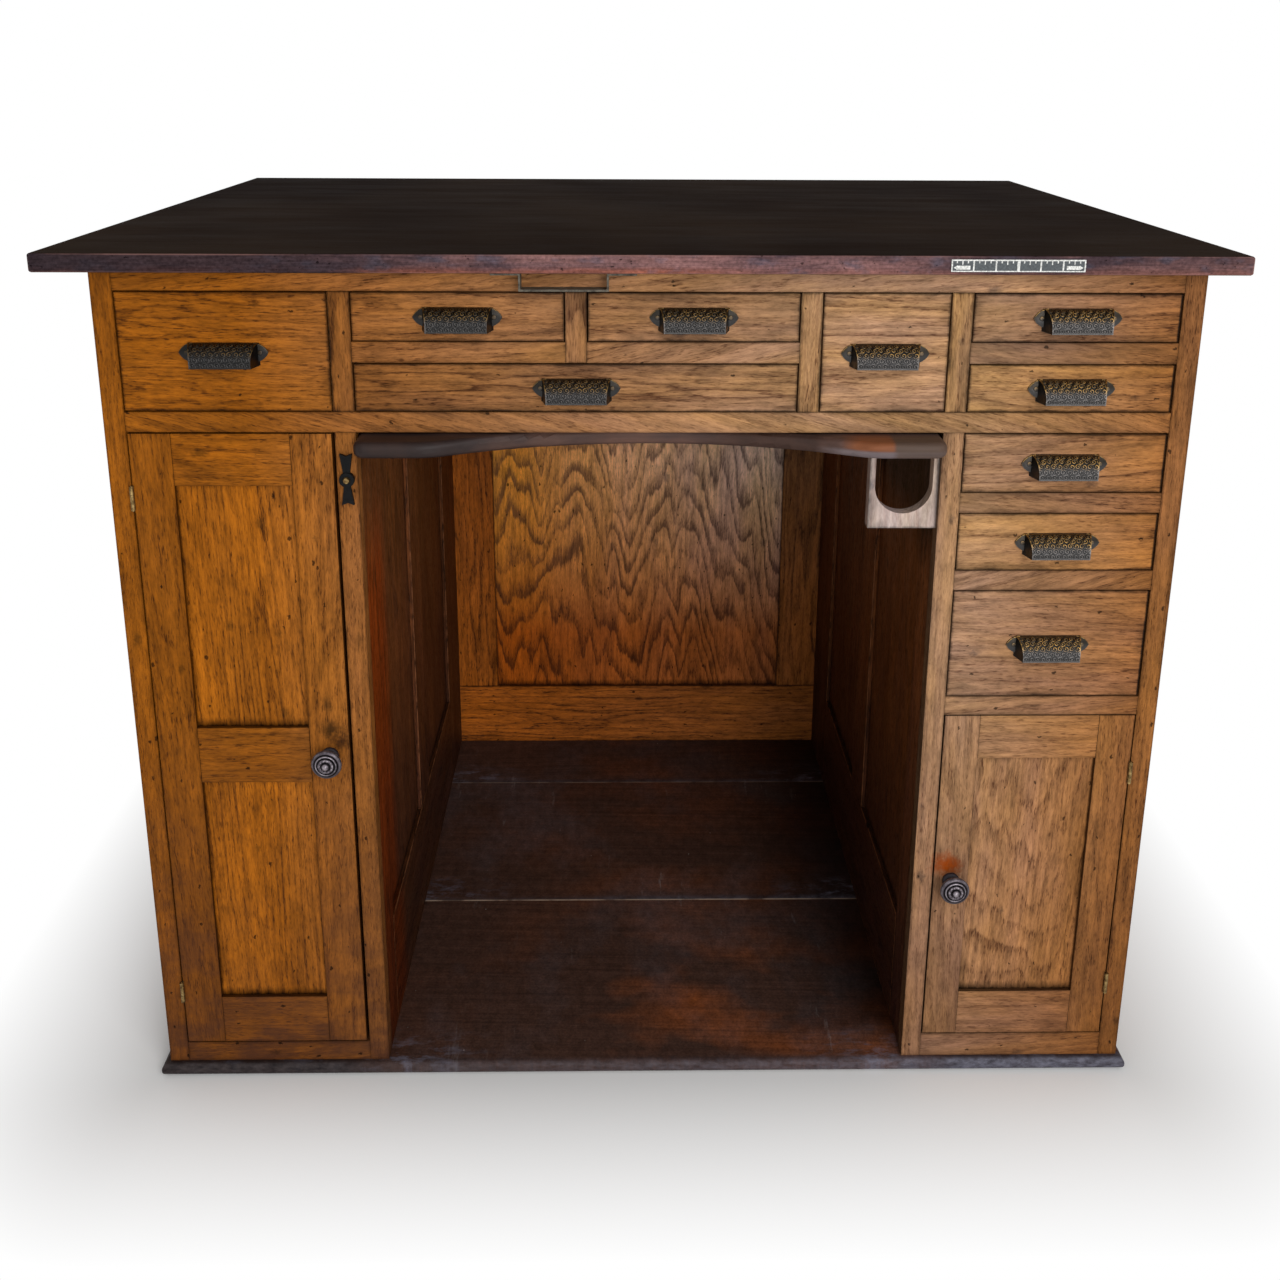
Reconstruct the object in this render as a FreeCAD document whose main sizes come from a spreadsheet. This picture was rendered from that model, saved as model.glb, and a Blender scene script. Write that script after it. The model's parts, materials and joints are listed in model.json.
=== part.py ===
import FreeCAD, Part
import itertools
import math
import os
import Sketcher

# Jeweller's kneehole desk in oak, in millimetres.
# +X is to the sitter's right, +Y runs from the sitter to the back, +Z is up.
# The origin is on the floor, under the centre of the case.

doc = FreeCAD.newDocument("JewelersDesk")
sheet = doc.addObject("Spreadsheet::Sheet", "Sizes")
rows = itertools.count(1)


class Size:
    """A length that carries its number and the sheet expression that gives it."""

    def __init__(self, text, value):
        self.text = text
        self.value = value

    def __add__(self, other):
        other = as_size(other)
        return Size(f"({self.text} + {other.text})", self.value + other.value)

    def __sub__(self, other):
        other = as_size(other)
        return Size(f"({self.text} - {other.text})", self.value - other.value)

    def __mul__(self, other):
        other = as_size(other)
        return Size(f"({self.text} * {other.text})", self.value * other.value)

    def __truediv__(self, other):
        other = as_size(other)
        return Size(f"({self.text} / {other.text})", self.value / other.value)

    def __neg__(self):
        return Size(f"(0 - {self.text})", -self.value)


def as_size(item):
    return item if isinstance(item, Size) else Size(repr(item), item)


def size(name, value):
    """Writes one driving dimension into the sheet and returns it."""
    row = next(rows)
    sheet.set(f"A{row}", name)
    sheet.set(f"B{row}", str(value))
    sheet.setAlias(f"B{row}", name)
    return Size(f"Sizes.{name}", value)


# Overall sizes
desk_height = size("desk_height", 1120)
top_thickness = size("top_thickness", 22)
top_front_overhang = size("top_front_overhang", 30)
top_back_overhang = size("top_back_overhang", 56)
top_left_overhang = size("top_left_overhang", 54.5)
top_right_overhang = size("top_right_overhang", 38.5)
top_edge_round = size("top_edge_round", 3)
case_width = size("case_width", 1292)
case_depth = size("case_depth", 914)
base_thickness = size("base_thickness", 18)
base_overhang = size("base_overhang", 10)
base_board_width = size("base_board_width", 370)
base_edge_round = size("base_edge_round", 8)

# Face frame
face_thickness = size("face_thickness", 22)
stile_reveal = size("stile_reveal", 3)
top_rail_height = size("top_rail_height", 25)
rail_height = size("rail_height", 25)
left_bottom_rail = size("left_bottom_rail", 29)
right_bottom_rail = size("right_bottom_rail", 35)
knee_width = size("knee_width", 700)
narrow_drawer_width = size("narrow_drawer_width", 151)
shallow_drawer_height = size("shallow_drawer_height", 59.5)
middle_drawer_height = size("middle_drawer_height", 75.5)
deep_drawer_height = size("deep_drawer_height", 145)

# Side walls, knee walls and back
wall_thickness = size("wall_thickness", 22)
wall_front_stile = size("wall_front_stile", 60)
wall_middle_stile = size("wall_middle_stile", 90)
wall_rear_stile = size("wall_rear_stile", 157)
wall_bottom_rail = size("wall_bottom_rail", 165)
wall_top_rail = size("wall_top_rail", 230)
side_stile = size("side_stile", 75)
side_bottom_rail = size("side_bottom_rail", 120)
side_top_rail = size("side_top_rail", 100)
back_edge_stile = size("back_edge_stile", 75)
back_inner_stile = size("back_inner_stile", 110)
back_stile_reveal = size("back_stile_reveal", 75)
back_bottom_rail = size("back_bottom_rail", 120)
back_top_rail = size("back_top_rail", 120)
panel_thickness = size("panel_thickness", 10)
panel_recess = size("panel_recess", 6)
groove_depth = size("groove_depth", 8)
panel_play = size("panel_play", 1)

# Drawers and what carries them
drawer_gap = size("drawer_gap", 1.5)
drawer_front_thickness = size("drawer_front_thickness", 20)
drawer_length = size("drawer_length", 700)
drawer_side_thickness = size("drawer_side_thickness", 11)
drawer_bottom_thickness = size("drawer_bottom_thickness", 6)
drawer_bottom_lift = size("drawer_bottom_lift", 9)
drawer_groove = size("drawer_groove", 6)
drawer_side_drop = size("drawer_side_drop", 5)
tail_lap = size("tail_lap", 6)
tail_pitch = size("tail_pitch", 26)
tail_flare = size("tail_flare", 2.5)
pin_root = size("pin_root", 10)
runner_width = size("runner_width", 28)
ceiling_thickness = size("ceiling_thickness", 22)

# Bin pulls
pull_width = size("pull_width", 104)
hood_width = size("hood_width", 71)
hood_radius = size("hood_radius", 22)
hood_lip = size("hood_lip", 5)
hood_wall = size("hood_wall", 2.5)
ear_height = size("ear_height", 23)
ear_arc = size("ear_arc", 19)
ear_thickness = size("ear_thickness", 2.5)

# Doors
door_gap = size("door_gap", 1.5)
left_latch_gap = size("left_latch_gap", 4)
right_latch_gap = size("right_latch_gap", 2)
left_door_stile = size("left_door_stile", 50)
left_door_top_rail = size("left_door_top_rail", 65)
left_door_middle_rail = size("left_door_middle_rail", 77)
left_door_middle_height = size("left_door_middle_height", 392)
left_door_bottom_rail = size("left_door_bottom_rail", 70)
right_door_stile = size("right_door_stile", 45)
right_door_top_rail = size("right_door_top_rail", 60)
right_door_bottom_rail = size("right_door_bottom_rail", 66)
knob_radius = size("knob_radius", 19)
knob_projection = size("knob_projection", 35)
knob_neck_radius = size("knob_neck_radius", 7)
knob_foot_radius = size("knob_foot_radius", 11)
knob_foot_thickness = size("knob_foot_thickness", 3)
knob_head_thickness = size("knob_head_thickness", 15)
knob_cove = size("knob_cove", 6)
knob_rim = size("knob_rim", 2.5)
knob_step = size("knob_step", 6.5)
knob_bead_radius = size("knob_bead_radius", 15)
knob_bead_rise = size("knob_bead_rise", 2.5)
knob_bead_width = size("knob_bead_width", 4)
knob_button_radius = size("knob_button_radius", 9)
knob_crown = size("knob_crown", 3)

# Butt hinges
hinge_length = size("hinge_length", 30)
hinge_end_distance = size("hinge_end_distance", 80)
hinge_leaf_width = size("hinge_leaf_width", 14)
hinge_leaf_thickness = size("hinge_leaf_thickness", 1)
knuckle_radius = size("knuckle_radius", 2.5)
hinge_pin_radius = size("hinge_pin_radius", 1.1)
hinge_pin_tip = size("hinge_pin_tip", 1)
hinge_play = size("hinge_play", 0.3)

# Turn button
button_drop = size("button_drop", 57)
button_reach = size("button_reach", 32)
button_tip_width = size("button_tip_width", 15)
button_waist_width = size("button_waist_width", 8)
button_notch = size("button_notch", 3)
button_thickness = size("button_thickness", 5)
button_hub_radius = size("button_hub_radius", 9)
button_hub_height = size("button_hub_height", 7)
button_stand = size("button_stand", 1)
button_screw_radius = size("button_screw_radius", 2.5)
button_screw_length = size("button_screw_length", 15)
button_head_radius = size("button_head_radius", 4.5)
button_head_height = size("button_head_height", 2.5)
button_play = size("button_play", 0.4)

# Apron slide
apron_thickness = size("apron_thickness", 20)
apron_clearance = size("apron_clearance", 2)
apron_projection = size("apron_projection", 40)
apron_length = size("apron_length", 540)
apron_side_gap = size("apron_side_gap", 1.5)
apron_edge_round = size("apron_edge_round", 8)
horn_width = size("horn_width", 92)
horn_round = size("horn_round", 90)
horn_corner_round = size("horn_corner_round", 14)
belly_depth = size("belly_depth", 65)
cleat_width = size("cleat_width", 18)
cleat_height = size("cleat_height", 18)
cleat_setback = size("cleat_setback", 32)
cleat_gap = size("cleat_gap", 1)

# Fittings under and on the edge of the top
strap_centre = size("strap_centre", -101)
strap_opening = size("strap_opening", 98)
strap_drop = size("strap_drop", 18.5)
strap_thickness = size("strap_thickness", 2.5)
strap_depth = size("strap_depth", 20)
strap_flange = size("strap_flange", 32)
strap_setback = size("strap_setback", 5)
ruler_inset = size("ruler_inset", 193.5)
ruler_length = size("ruler_length", 153)
ruler_height = size("ruler_height", 14)
ruler_thickness = size("ruler_thickness", 1)

# Notched tool board
tool_board_width = size("tool_board_width", 84)
tool_board_height = size("tool_board_height", 97)
tool_board_thickness = size("tool_board_thickness", 18)
tool_board_setback = size("tool_board_setback", 8)
tool_board_clearance = size("tool_board_clearance", 4)
notch_radius = size("notch_radius", 35)
notch_floor = size("notch_floor", 19)
notch_cheek = size("notch_cheek", 7)

doc.recompute()

# Planes and levels that many pieces share
front = -case_depth / 2
back = case_depth / 2
half_case = case_width / 2
half_knee = knee_width / 2
stile_width = wall_thickness + stile_reveal
face_back = front + face_thickness
back_face = back - wall_thickness
case_top = desk_height - top_thickness
row_1_top = case_top - top_rail_height
row_1_bottom = row_1_top - shallow_drawer_height
row_2_top = row_1_bottom - rail_height
row_2_bottom = row_2_top - shallow_drawer_height
row_3_top = row_2_bottom - rail_height
row_3_bottom = row_3_top - middle_drawer_height
row_4_top = row_3_bottom - rail_height
row_4_bottom = row_4_top - middle_drawer_height
row_5_top = row_4_bottom - rail_height
row_5_bottom = row_5_top - deep_drawer_height
right_door_top = row_5_bottom - rail_height
column_outer = half_case - stile_width
column_inner = half_knee + stile_width
narrow_left = half_knee - narrow_drawer_width
wide_right = narrow_left - stile_width
split_centre = (wide_right - half_knee) / 2
split_left = split_centre - stile_width / 2
split_right = split_centre + stile_width / 2

nodes = []


def bind(item, prop, length):
    item.setExpression(prop, as_size(length).text)


def place(item, x, y, z):
    for axis, value in zip("xyz", (x, y, z)):
        bind(item, f"Placement.Base.{axis}", value)
    return item


def board(name, x, y, z):
    """A board between two planes on each axis."""
    box = doc.addObject("Part::Box", name)
    bind(box, "Length", as_size(x[1]) - x[0])
    bind(box, "Width", as_size(y[1]) - y[0])
    bind(box, "Height", as_size(z[1]) - z[0])
    return place(box, x[0], y[0], z[0])


def rod(name, radius, z):
    """An upright round bar on the Z axis between two levels."""
    cylinder = doc.addObject("Part::Cylinder", name)
    bind(cylinder, "Radius", radius)
    bind(cylinder, "Height", as_size(z[1]) - z[0])
    return place(cylinder, 0, 0, z[0])


def compound(name, members):
    group = doc.addObject("Part::Compound", name)
    group.Links = members
    return group


def cut(name, base, tool):
    result = doc.addObject("Part::Cut", name)
    result.Base = base
    result.Tool = tool
    return result


def fuse(name, members):
    result = doc.addObject("Part::MultiFuse", name)
    result.Shapes = members
    result.Refine = True
    return result


def copy_at(name, source, x, y, z, turn=FreeCAD.Rotation()):
    """The same piece again, at another place."""
    twin = compound(name, [source])
    twin.Placement = FreeCAD.Placement(FreeCAD.Vector(), turn)
    return place(twin, x, y, z)


def node(label, item):
    item.Label = label
    nodes.append(item)
    return item


def group_node(label, members):
    return node(label, compound(label, members))


def new_body(name):
    return doc.addObject("PartDesign::Body", name)


def new_sketch(body, role):
    sketch = body.newObject("Sketcher::SketchObject", f"{body.Name}_sketch")
    plane = next(item for item in body.Origin.OriginFeatures if item.Role == role)
    sketch.AttachmentSupport = (plane, [""])
    sketch.MapMode = "FlatFace"
    return sketch


def constrain(sketch, length, *where):
    index = sketch.addConstraint(Sketcher.Constraint(*where, as_size(length).value))
    bind(sketch, f"Constraints[{index}]", length)


def arc_between(start, end, radius):
    """The short arc from start to end that bows to the right of that line."""
    chord = end - start
    side = FreeCAD.Vector(-chord.y, chord.x, 0).normalize()
    rise = math.sqrt(radius**2 - (chord.Length / 2) ** 2)
    centre = (start + end) / 2 + side * rise
    circle = Part.Circle(centre, FreeCAD.Vector(0, 0, 1), radius)
    return Part.ArcOfCircle(circle, circle.parameter(start), circle.parameter(end))


def outline(sketch, corners, arcs=None):
    """A closed outline, counter-clockwise, whose sides are lines or arcs of a stated radius."""
    arcs = arcs or {}
    points = [FreeCAD.Vector(as_size(x).value, as_size(y).value, 0) for x, y in corners]
    ends = list(zip(points, points[1:] + points[:1]))
    sides = []
    for number, (start, end) in enumerate(ends):
        if number in arcs:
            sides.append(sketch.addGeometry(arc_between(start, end, arcs[number].value)))
        else:
            sides.append(sketch.addGeometry(Part.LineSegment(start, end)))
    for number, side in enumerate(sides):
        sketch.addConstraint(Sketcher.Constraint("Coincident", sides[number - 1], 2, side, 1))
        constrain(sketch, corners[number][0], "DistanceX", -1, 1, side, 1)
        constrain(sketch, corners[number][1], "DistanceY", -1, 1, side, 1)
        if number in arcs:
            constrain(sketch, arcs[number], "Radius", side)


def ring(sketch, x, y, radius):
    centre = FreeCAD.Vector(as_size(x).value, as_size(y).value, 0)
    circle = sketch.addGeometry(Part.Circle(centre, FreeCAD.Vector(0, 0, 1), as_size(radius).value))
    constrain(sketch, x, "DistanceX", -1, 1, circle, 3)
    constrain(sketch, y, "DistanceY", -1, 1, circle, 3)
    constrain(sketch, radius, "Radius", circle)


def pad(body, sketch, length, reverse=False):
    feature = body.newObject("PartDesign::Pad", f"{body.Name}_pad")
    feature.Profile = sketch
    feature.Reversed = reverse
    bind(feature, "Length", length)
    doc.recompute()
    return feature


def pocket_through(body, sketch):
    feature = body.newObject("PartDesign::Pocket", f"{body.Name}_pocket")
    feature.Profile = sketch
    feature.Type = "ThroughAll"
    feature.Midplane = True
    doc.recompute()
    return feature


def round_edges(body, feature, radius, chosen):
    """Rounds the edges of the body's last feature that the test picks."""
    names = [f"Edge{i}" for i, edge in enumerate(feature.Shape.Edges, 1) if chosen(edge)]
    fillet = body.newObject("PartDesign::Fillet", f"{body.Name}_fillet")
    fillet.Base = (feature, names)
    bind(fillet, "Radius", radius)
    doc.recompute()
    return fillet


def is_level(edge):
    return edge.BoundBox.ZLength < 0.01


def is_upright(edge):
    return edge.BoundBox.ZLength > 0.01


def rectangle(x, y):
    return [(x[0], y[0]), (x[1], y[0]), (x[1], y[1]), (x[0], y[1])]


def make_top():
    body = new_body("top_slab")
    across = (-half_case - top_left_overhang, half_case + top_right_overhang)
    along = (front - top_front_overhang, back + top_back_overhang)
    sketch = new_sketch(body, "XY_Plane")
    outline(sketch, rectangle(across, along))
    slab = pad(body, sketch, top_thickness)
    round_edges(body, slab, top_edge_round, is_level)
    node("top_board", place(body, 0, 0, case_top))


def make_base():
    """Wide boards side by side from the sitter to the back, with a round nose on the outer edges."""
    side = half_case + base_overhang
    start = front - base_overhang
    count = math.ceil((back - start).value / base_board_width.value)
    boards = []
    for number in range(count):
        body = new_body("base_board")
        low = start + base_board_width * number
        high = back if number == count - 1 else low + base_board_width
        sketch = new_sketch(body, "XY_Plane")
        outline(sketch, rectangle((-side, side), (low, high)))
        plank = pad(body, sketch, base_thickness)

        def is_nose(edge):
            box = edge.BoundBox
            at_front = box.YMax < start.value + 0.01
            return is_level(edge) and (box.XLength < 0.01 or at_front)

        round_edges(body, plank, base_edge_round, is_nose)
        boards.append(body)
    group_node("base_boards", boards)


def face_board(name, x, z):
    return board(name, x, (front, face_back), z)


def make_face_frame(left_hinges, right_hinges, button_screw):
    full = (base_thickness, case_top)
    below_drawers = (base_thickness, row_3_top)
    left_outer = face_board("outer_stile_blank", (-half_case, -column_outer), full)
    right_outer = face_board("outer_stile_blank", (column_outer, half_case), full)
    left_inner = face_board("knee_stile_blank", (-column_inner, -half_knee), below_drawers)
    right_inner = face_board("knee_stile", (half_knee, column_inner), below_drawers)
    group_node(
        "face_stiles",
        [
            cut("outer_stile", left_outer, compound("left_hinge_beds", left_hinges)),
            cut("outer_stile", right_outer, compound("right_hinge_beds", right_hinges)),
            cut("knee_stile", left_inner, button_screw),
            right_inner,
        ],
    )

    drawer_rows = (row_2_bottom, row_1_top)
    group_node(
        "face_muntins",
        [
            face_board("muntin", (-column_inner, -half_knee), drawer_rows),
            face_board("muntin", (half_knee, column_inner), drawer_rows),
            face_board("muntin", (wide_right, narrow_left), drawer_rows),
            face_board("muntin", (split_left, split_right), (row_2_top, row_1_top)),
        ],
    )

    right_column = (column_inner, column_outer)
    left_column = (-column_outer, -column_inner)
    group_node(
        "face_rails",
        [
            face_board("top_rail", (-column_outer, column_outer), (row_1_top, case_top)),
            face_board("middle_rail", (-column_outer, column_outer), (row_3_top, row_2_bottom)),
            face_board("drawer_rail", (-half_knee, split_left), (row_2_top, row_1_bottom)),
            face_board("drawer_rail", (split_right, wide_right), (row_2_top, row_1_bottom)),
            face_board("drawer_rail", right_column, (row_2_top, row_1_bottom)),
            face_board("drawer_rail", right_column, (row_4_top, row_3_bottom)),
            face_board("drawer_rail", right_column, (row_5_top, row_4_bottom)),
            face_board("drawer_rail", right_column, (right_door_top, row_5_bottom)),
            face_board("bottom_rail", left_column, (base_thickness, base_thickness + left_bottom_rail)),
            face_board("bottom_rail", right_column, (base_thickness, base_thickness + right_bottom_rail)),
        ],
    )


def panelled(label, across, thick, stiles, rails):
    """Frame and panel work: outer stiles run full height, rails between them, panels in grooves."""
    height = (rails[0][0], rails[-1][1])
    between = (stiles[0][1], stiles[-1][0])
    skin = (thick[0] + panel_recess, thick[0] + panel_recess + panel_thickness)

    def piece(name, span, depth, tall):
        if across == "x":
            return board(name, span, depth, tall)
        return board(name, depth, span, tall)

    def field(name, columns, levels, reach):
        span = (columns[0][1] - reach, columns[1][0] + reach)
        tall = (levels[0][1] - reach, levels[1][0] + reach)
        return piece(name, span, skin, tall)

    bays = list(itertools.product(zip(stiles, stiles[1:]), zip(rails, rails[1:])))
    grooves = [field(f"{label}_groove", columns, levels, groove_depth) for columns, levels in bays]
    groove_tool = compound(f"{label}_grooves", grooves)
    blanks = [piece(f"{label}_stile_blank", stile, thick, height) for stile in (stiles[0], stiles[-1])]
    blanks += [piece(f"{label}_rail_blank", between, thick, rail) for rail in rails]
    for low, high in zip(rails, rails[1:]):
        upright = (low[1], high[0])
        blanks += [piece(f"{label}_muntin_blank", stile, thick, upright) for stile in stiles[1:-1]]
    members = [cut(f"{label}_member", blank, groove_tool) for blank in blanks]
    reach = groove_depth - panel_play
    panels = [field(f"{label}_field", columns, levels, reach) for columns, levels in bays]
    return members, panels


def wall(label, x, y, first, middle, last, rails):
    """An upright frame and panel wall that runs from the sitter to the back, two panels long."""
    centre = (y[0] + first + y[1] - last) / 2
    stiles = [
        (y[0], y[0] + first),
        (centre - middle / 2, centre + middle / 2),
        (y[1] - last, y[1]),
    ]
    return panelled(label, "y", x, stiles, rails)


def make_walls():
    outer_rails = [
        (base_thickness, base_thickness + side_bottom_rail),
        (case_top - side_top_rail, case_top),
    ]
    knee_rails = [
        (base_thickness, base_thickness + wall_bottom_rail),
        (case_top - wall_top_rail, case_top),
    ]
    outer_places = [(-half_case, wall_thickness - half_case), (half_case - wall_thickness, half_case)]
    knee_places = [(-half_knee - wall_thickness, -half_knee), (half_knee, half_knee + wall_thickness)]
    frames = []
    panels = []
    for x in outer_places:
        run = (face_back, back)
        parts = wall("side_wall", x, run, side_stile, side_stile, side_stile, outer_rails)
        frames += parts[0]
        panels += parts[1]
    group_node("side_wall_frames", frames)
    group_node("side_wall_panels", panels)

    frames = []
    panels = []
    for x in knee_places:
        run = (face_back, back_face)
        parts = wall("knee_wall", x, run, wall_front_stile, wall_middle_stile, wall_rear_stile, knee_rails)
        frames += parts[0]
        panels += parts[1]
    group_node("knee_wall_frames", frames)
    group_node("knee_wall_panels", panels)


def make_back():
    edge = half_case - wall_thickness
    reveal = half_knee - back_stile_reveal
    stiles = [
        (-edge, back_edge_stile - edge),
        (-reveal - back_inner_stile, -reveal),
        (reveal, reveal + back_inner_stile),
        (edge - back_edge_stile, edge),
    ]
    rails = [
        (base_thickness, base_thickness + back_bottom_rail),
        (case_top - back_top_rail, case_top),
    ]
    members, panels = panelled("back_wall", "x", (back_face, back), stiles, rails)
    group_node("back_frame", members)
    group_node("back_panels", panels)


def make_drawer_carcass():
    """What the drawers run on and between, behind the face frame."""
    run = (face_back, back_face)
    ceiling = (row_2_bottom - ceiling_thickness, row_2_bottom)
    node("kneehole_ceiling", board("kneehole_ceiling", (-half_knee, half_knee), run, ceiling))

    half_wall = wall_thickness / 2
    narrow_centre = (wide_right + narrow_left) / 2
    narrow_wall = (narrow_centre - half_wall, narrow_centre + half_wall)
    split_wall = (split_centre - half_wall, split_centre + half_wall)
    group_node(
        "drawer_partitions",
        [
            board("partition", narrow_wall, run, (row_2_bottom, case_top)),
            board("partition", split_wall, run, (row_1_bottom, case_top)),
        ],
    )

    outer_face = half_case - wall_thickness
    inner_face = half_knee + wall_thickness
    upper = (row_2_top, row_1_bottom)
    middle = (row_3_top, row_2_bottom)
    levels = [
        upper,
        middle,
        (row_4_top, row_3_bottom),
        (row_5_top, row_4_bottom),
        (right_door_top, row_5_bottom),
    ]
    columns = [(-outer_face, runner_width - outer_face), (-inner_face - runner_width, -inner_face)]
    places = [(x, middle) for x in columns]
    columns = [(inner_face, inner_face + runner_width), (outer_face - runner_width, outer_face)]
    places += itertools.product(columns, levels)
    columns = [
        (-half_knee, runner_width - half_knee),
        (split_centre - runner_width, split_centre + runner_width),
        (narrow_wall[0] - runner_width, narrow_wall[0]),
    ]
    places += [(x, upper) for x in columns]
    runners = [board("drawer_runner", x, run, level) for x, level in places]

    cleat_top = row_3_top - apron_clearance - apron_thickness - cleat_gap
    cleat_run = (front + cleat_setback, front + apron_length)
    cleat_level = (cleat_top - cleat_height, cleat_top)
    for x in ((-half_knee, cleat_width - half_knee), (half_knee - cleat_width, half_knee)):
        runners.append(board("apron_cleat", x, cleat_run, cleat_level))
    group_node("slide_runners", runners)


def make_pull():
    """A cast bin pull: a quarter-round hood, open below and behind, between two pointed ears."""
    axis = ear_height / 2 - hood_radius
    facing = FreeCAD.Rotation(
        FreeCAD.Vector(0, -1, 0), FreeCAD.Vector(0, 0, 1), FreeCAD.Vector(-1, 0, 0), "ZXY"
    )

    def hood(name, half_width, radius, lip):
        quarter = doc.addObject("Part::Cylinder", f"{name}_round")
        quarter.Angle = 90
        bind(quarter, "Radius", radius)
        bind(quarter, "Height", half_width * 2)
        quarter.Placement = FreeCAD.Placement(FreeCAD.Vector(), facing)
        place(quarter, half_width, 0, axis)
        skirt = board(f"{name}_skirt", (-half_width, half_width), (-radius, 0), (axis - lip, axis))
        return [quarter, skirt]

    plate = new_body("pull_ears")
    sketch = new_sketch(plate, "XZ_Plane")
    tip = pull_width / 2
    root = hood_width / 2
    half = ear_height / 2
    corners = [(-root, -half), (root, -half), (tip, 0), (root, half), (-root, half), (-tip, 0)]
    outline(sketch, corners, {1: ear_arc, 2: ear_arc, 4: ear_arc, 5: ear_arc})
    pad(plate, sketch, ear_thickness)

    solid = fuse("pull_solid", hood("pull_outer", root, hood_radius, hood_lip) + [plate])
    through = hood_lip + hood_wall
    hollow = fuse("pull_hollow", hood("pull_inner", root - hood_wall, hood_radius - hood_wall, through))
    return cut("bin_pull", solid, hollow)


def drawer_side(label, x, y, z, count):
    """A drawer side with half-blind dovetail tails on its front end."""
    height = z[1] - z[0]
    wide = height / count - pin_root + tail_flare * 2
    narrow = height / count - pin_root
    tail_length = drawer_front_thickness - tail_lap
    pieces = [board(f"{label}_side_board", x, y, z)]
    for number in range(count):
        tail = doc.addObject("Part::Wedge", f"{label}_tail")
        lengths = {
            "Xmin": 0,
            "Xmax": x[1] - x[0],
            "X2min": 0,
            "X2max": x[1] - x[0],
            "Ymin": 0,
            "Ymax": tail_length,
            "Zmin": -wide / 2,
            "Zmax": wide / 2,
            "Z2min": -narrow / 2,
            "Z2max": narrow / 2,
        }
        for prop, length in lengths.items():
            bind(tail, prop, length)
        place(tail, x[0], y[0] - tail_length, z[0] + height * (number + 0.5) / count)
        pieces.append(tail)
    return fuse(f"{label}_side", pieces)


def make_drawer(label, opening_x, opening_z, pull):
    x = (opening_x[0] + drawer_gap, opening_x[1] - drawer_gap)
    z = (opening_z[0] + drawer_gap, opening_z[1] - drawer_gap)
    inner = front + drawer_front_thickness
    end = front + drawer_length
    side_top = z[1] - drawer_side_drop
    count = max(2, round((side_top - z[0]).value / tail_pitch.value))

    floor_level = z[0] + drawer_bottom_lift
    floor_top = floor_level + drawer_bottom_thickness
    reach = drawer_side_thickness - drawer_groove
    bottom = board(
        f"{label}_bottom",
        (x[0] + reach, x[1] - reach),
        (inner - drawer_groove, end),
        (floor_level, floor_top),
    )
    places = [(x[0], x[0] + drawer_side_thickness), (x[1] - drawer_side_thickness, x[1])]
    sides = [drawer_side(label, place_x, (inner, end), (z[0], side_top), count) for place_x in places]
    rear = board(
        f"{label}_rear",
        (places[0][1], places[1][0]),
        (end - drawer_side_thickness, end),
        (floor_top, side_top - drawer_side_drop),
    )
    grooved = [cut(f"{label}_grooved_side", side, bottom) for side in sides]
    group_node(f"{label}_box", grooved + [rear, bottom])
    blank = board(f"{label}_front_blank", x, (front, inner), z)
    sockets = compound(f"{label}_sockets", sides + [bottom])
    node(f"{label}_front", cut(f"{label}_front", blank, sockets))
    centre_x = (x[0] + x[1]) / 2
    centre_z = (z[0] + z[1]) / 2
    node(f"{label}_pull", copy_at(f"{label}_pull", pull, centre_x, front, centre_z))


def make_drawers():
    pull = make_pull()
    left_column = (-column_outer, -column_inner)
    right_column = (column_inner, column_outer)
    upper_rows = (row_2_bottom, row_1_top)
    openings = {
        "left_drawer": (left_column, upper_rows),
        "upper_left_drawer": ((-half_knee, split_left), (row_1_bottom, row_1_top)),
        "upper_right_drawer": ((split_right, wide_right), (row_1_bottom, row_1_top)),
        "wide_drawer": ((-half_knee, wide_right), (row_2_bottom, row_2_top)),
        "narrow_drawer": ((narrow_left, half_knee), upper_rows),
        "right_drawer_1": (right_column, (row_1_bottom, row_1_top)),
        "right_drawer_2": (right_column, (row_2_bottom, row_2_top)),
        "right_drawer_3": (right_column, (row_3_bottom, row_3_top)),
        "right_drawer_4": (right_column, (row_4_bottom, row_4_top)),
        "right_drawer_5": (right_column, (row_5_bottom, row_5_top)),
    }
    for label, (x, z) in openings.items():
        make_drawer(label, x, z, pull)


def make_hinge():
    """One butt hinge about the Z axis, with the fixed leaf towards -X and the moving one towards +X."""
    middle = hinge_length / 6
    end = hinge_length / 2
    bed = door_gap / 2
    stand = knuckle_radius + hinge_play
    plate_run = (stand, stand + hinge_leaf_width)
    fixed_x = (-bed - hinge_leaf_thickness, -bed)
    moving_x = (bed, bed + hinge_leaf_thickness)

    pieces = [board("hinge_plate", fixed_x, plate_run, (-end, end))]
    for z in ((-end, -middle), (middle, end)):
        pieces.append(rod("hinge_knuckle", knuckle_radius, z))
        pieces.append(board("hinge_web", fixed_x, (0, stand), z))
    bore = rod("hinge_bore", hinge_pin_radius, (-end, end))
    pin = rod("hinge_pin", hinge_pin_radius, (-end - hinge_pin_tip, end + hinge_pin_tip))
    fixed = compound("hinge_fixed", [cut("hinge_fixed_leaf", fuse("hinge_fixed_solid", pieces), bore), pin])

    z = (hinge_play - middle, middle - hinge_play)
    pieces = [
        board("hinge_plate", moving_x, plate_run, (-end, end)),
        rod("hinge_knuckle", knuckle_radius, z),
        board("hinge_web", moving_x, (0, stand), z),
    ]
    bore = rod("hinge_bore", hinge_pin_radius + hinge_play, z)
    moving = cut("hinge_moving_leaf", fuse("hinge_moving_solid", pieces), bore)
    return fixed, moving


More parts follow.
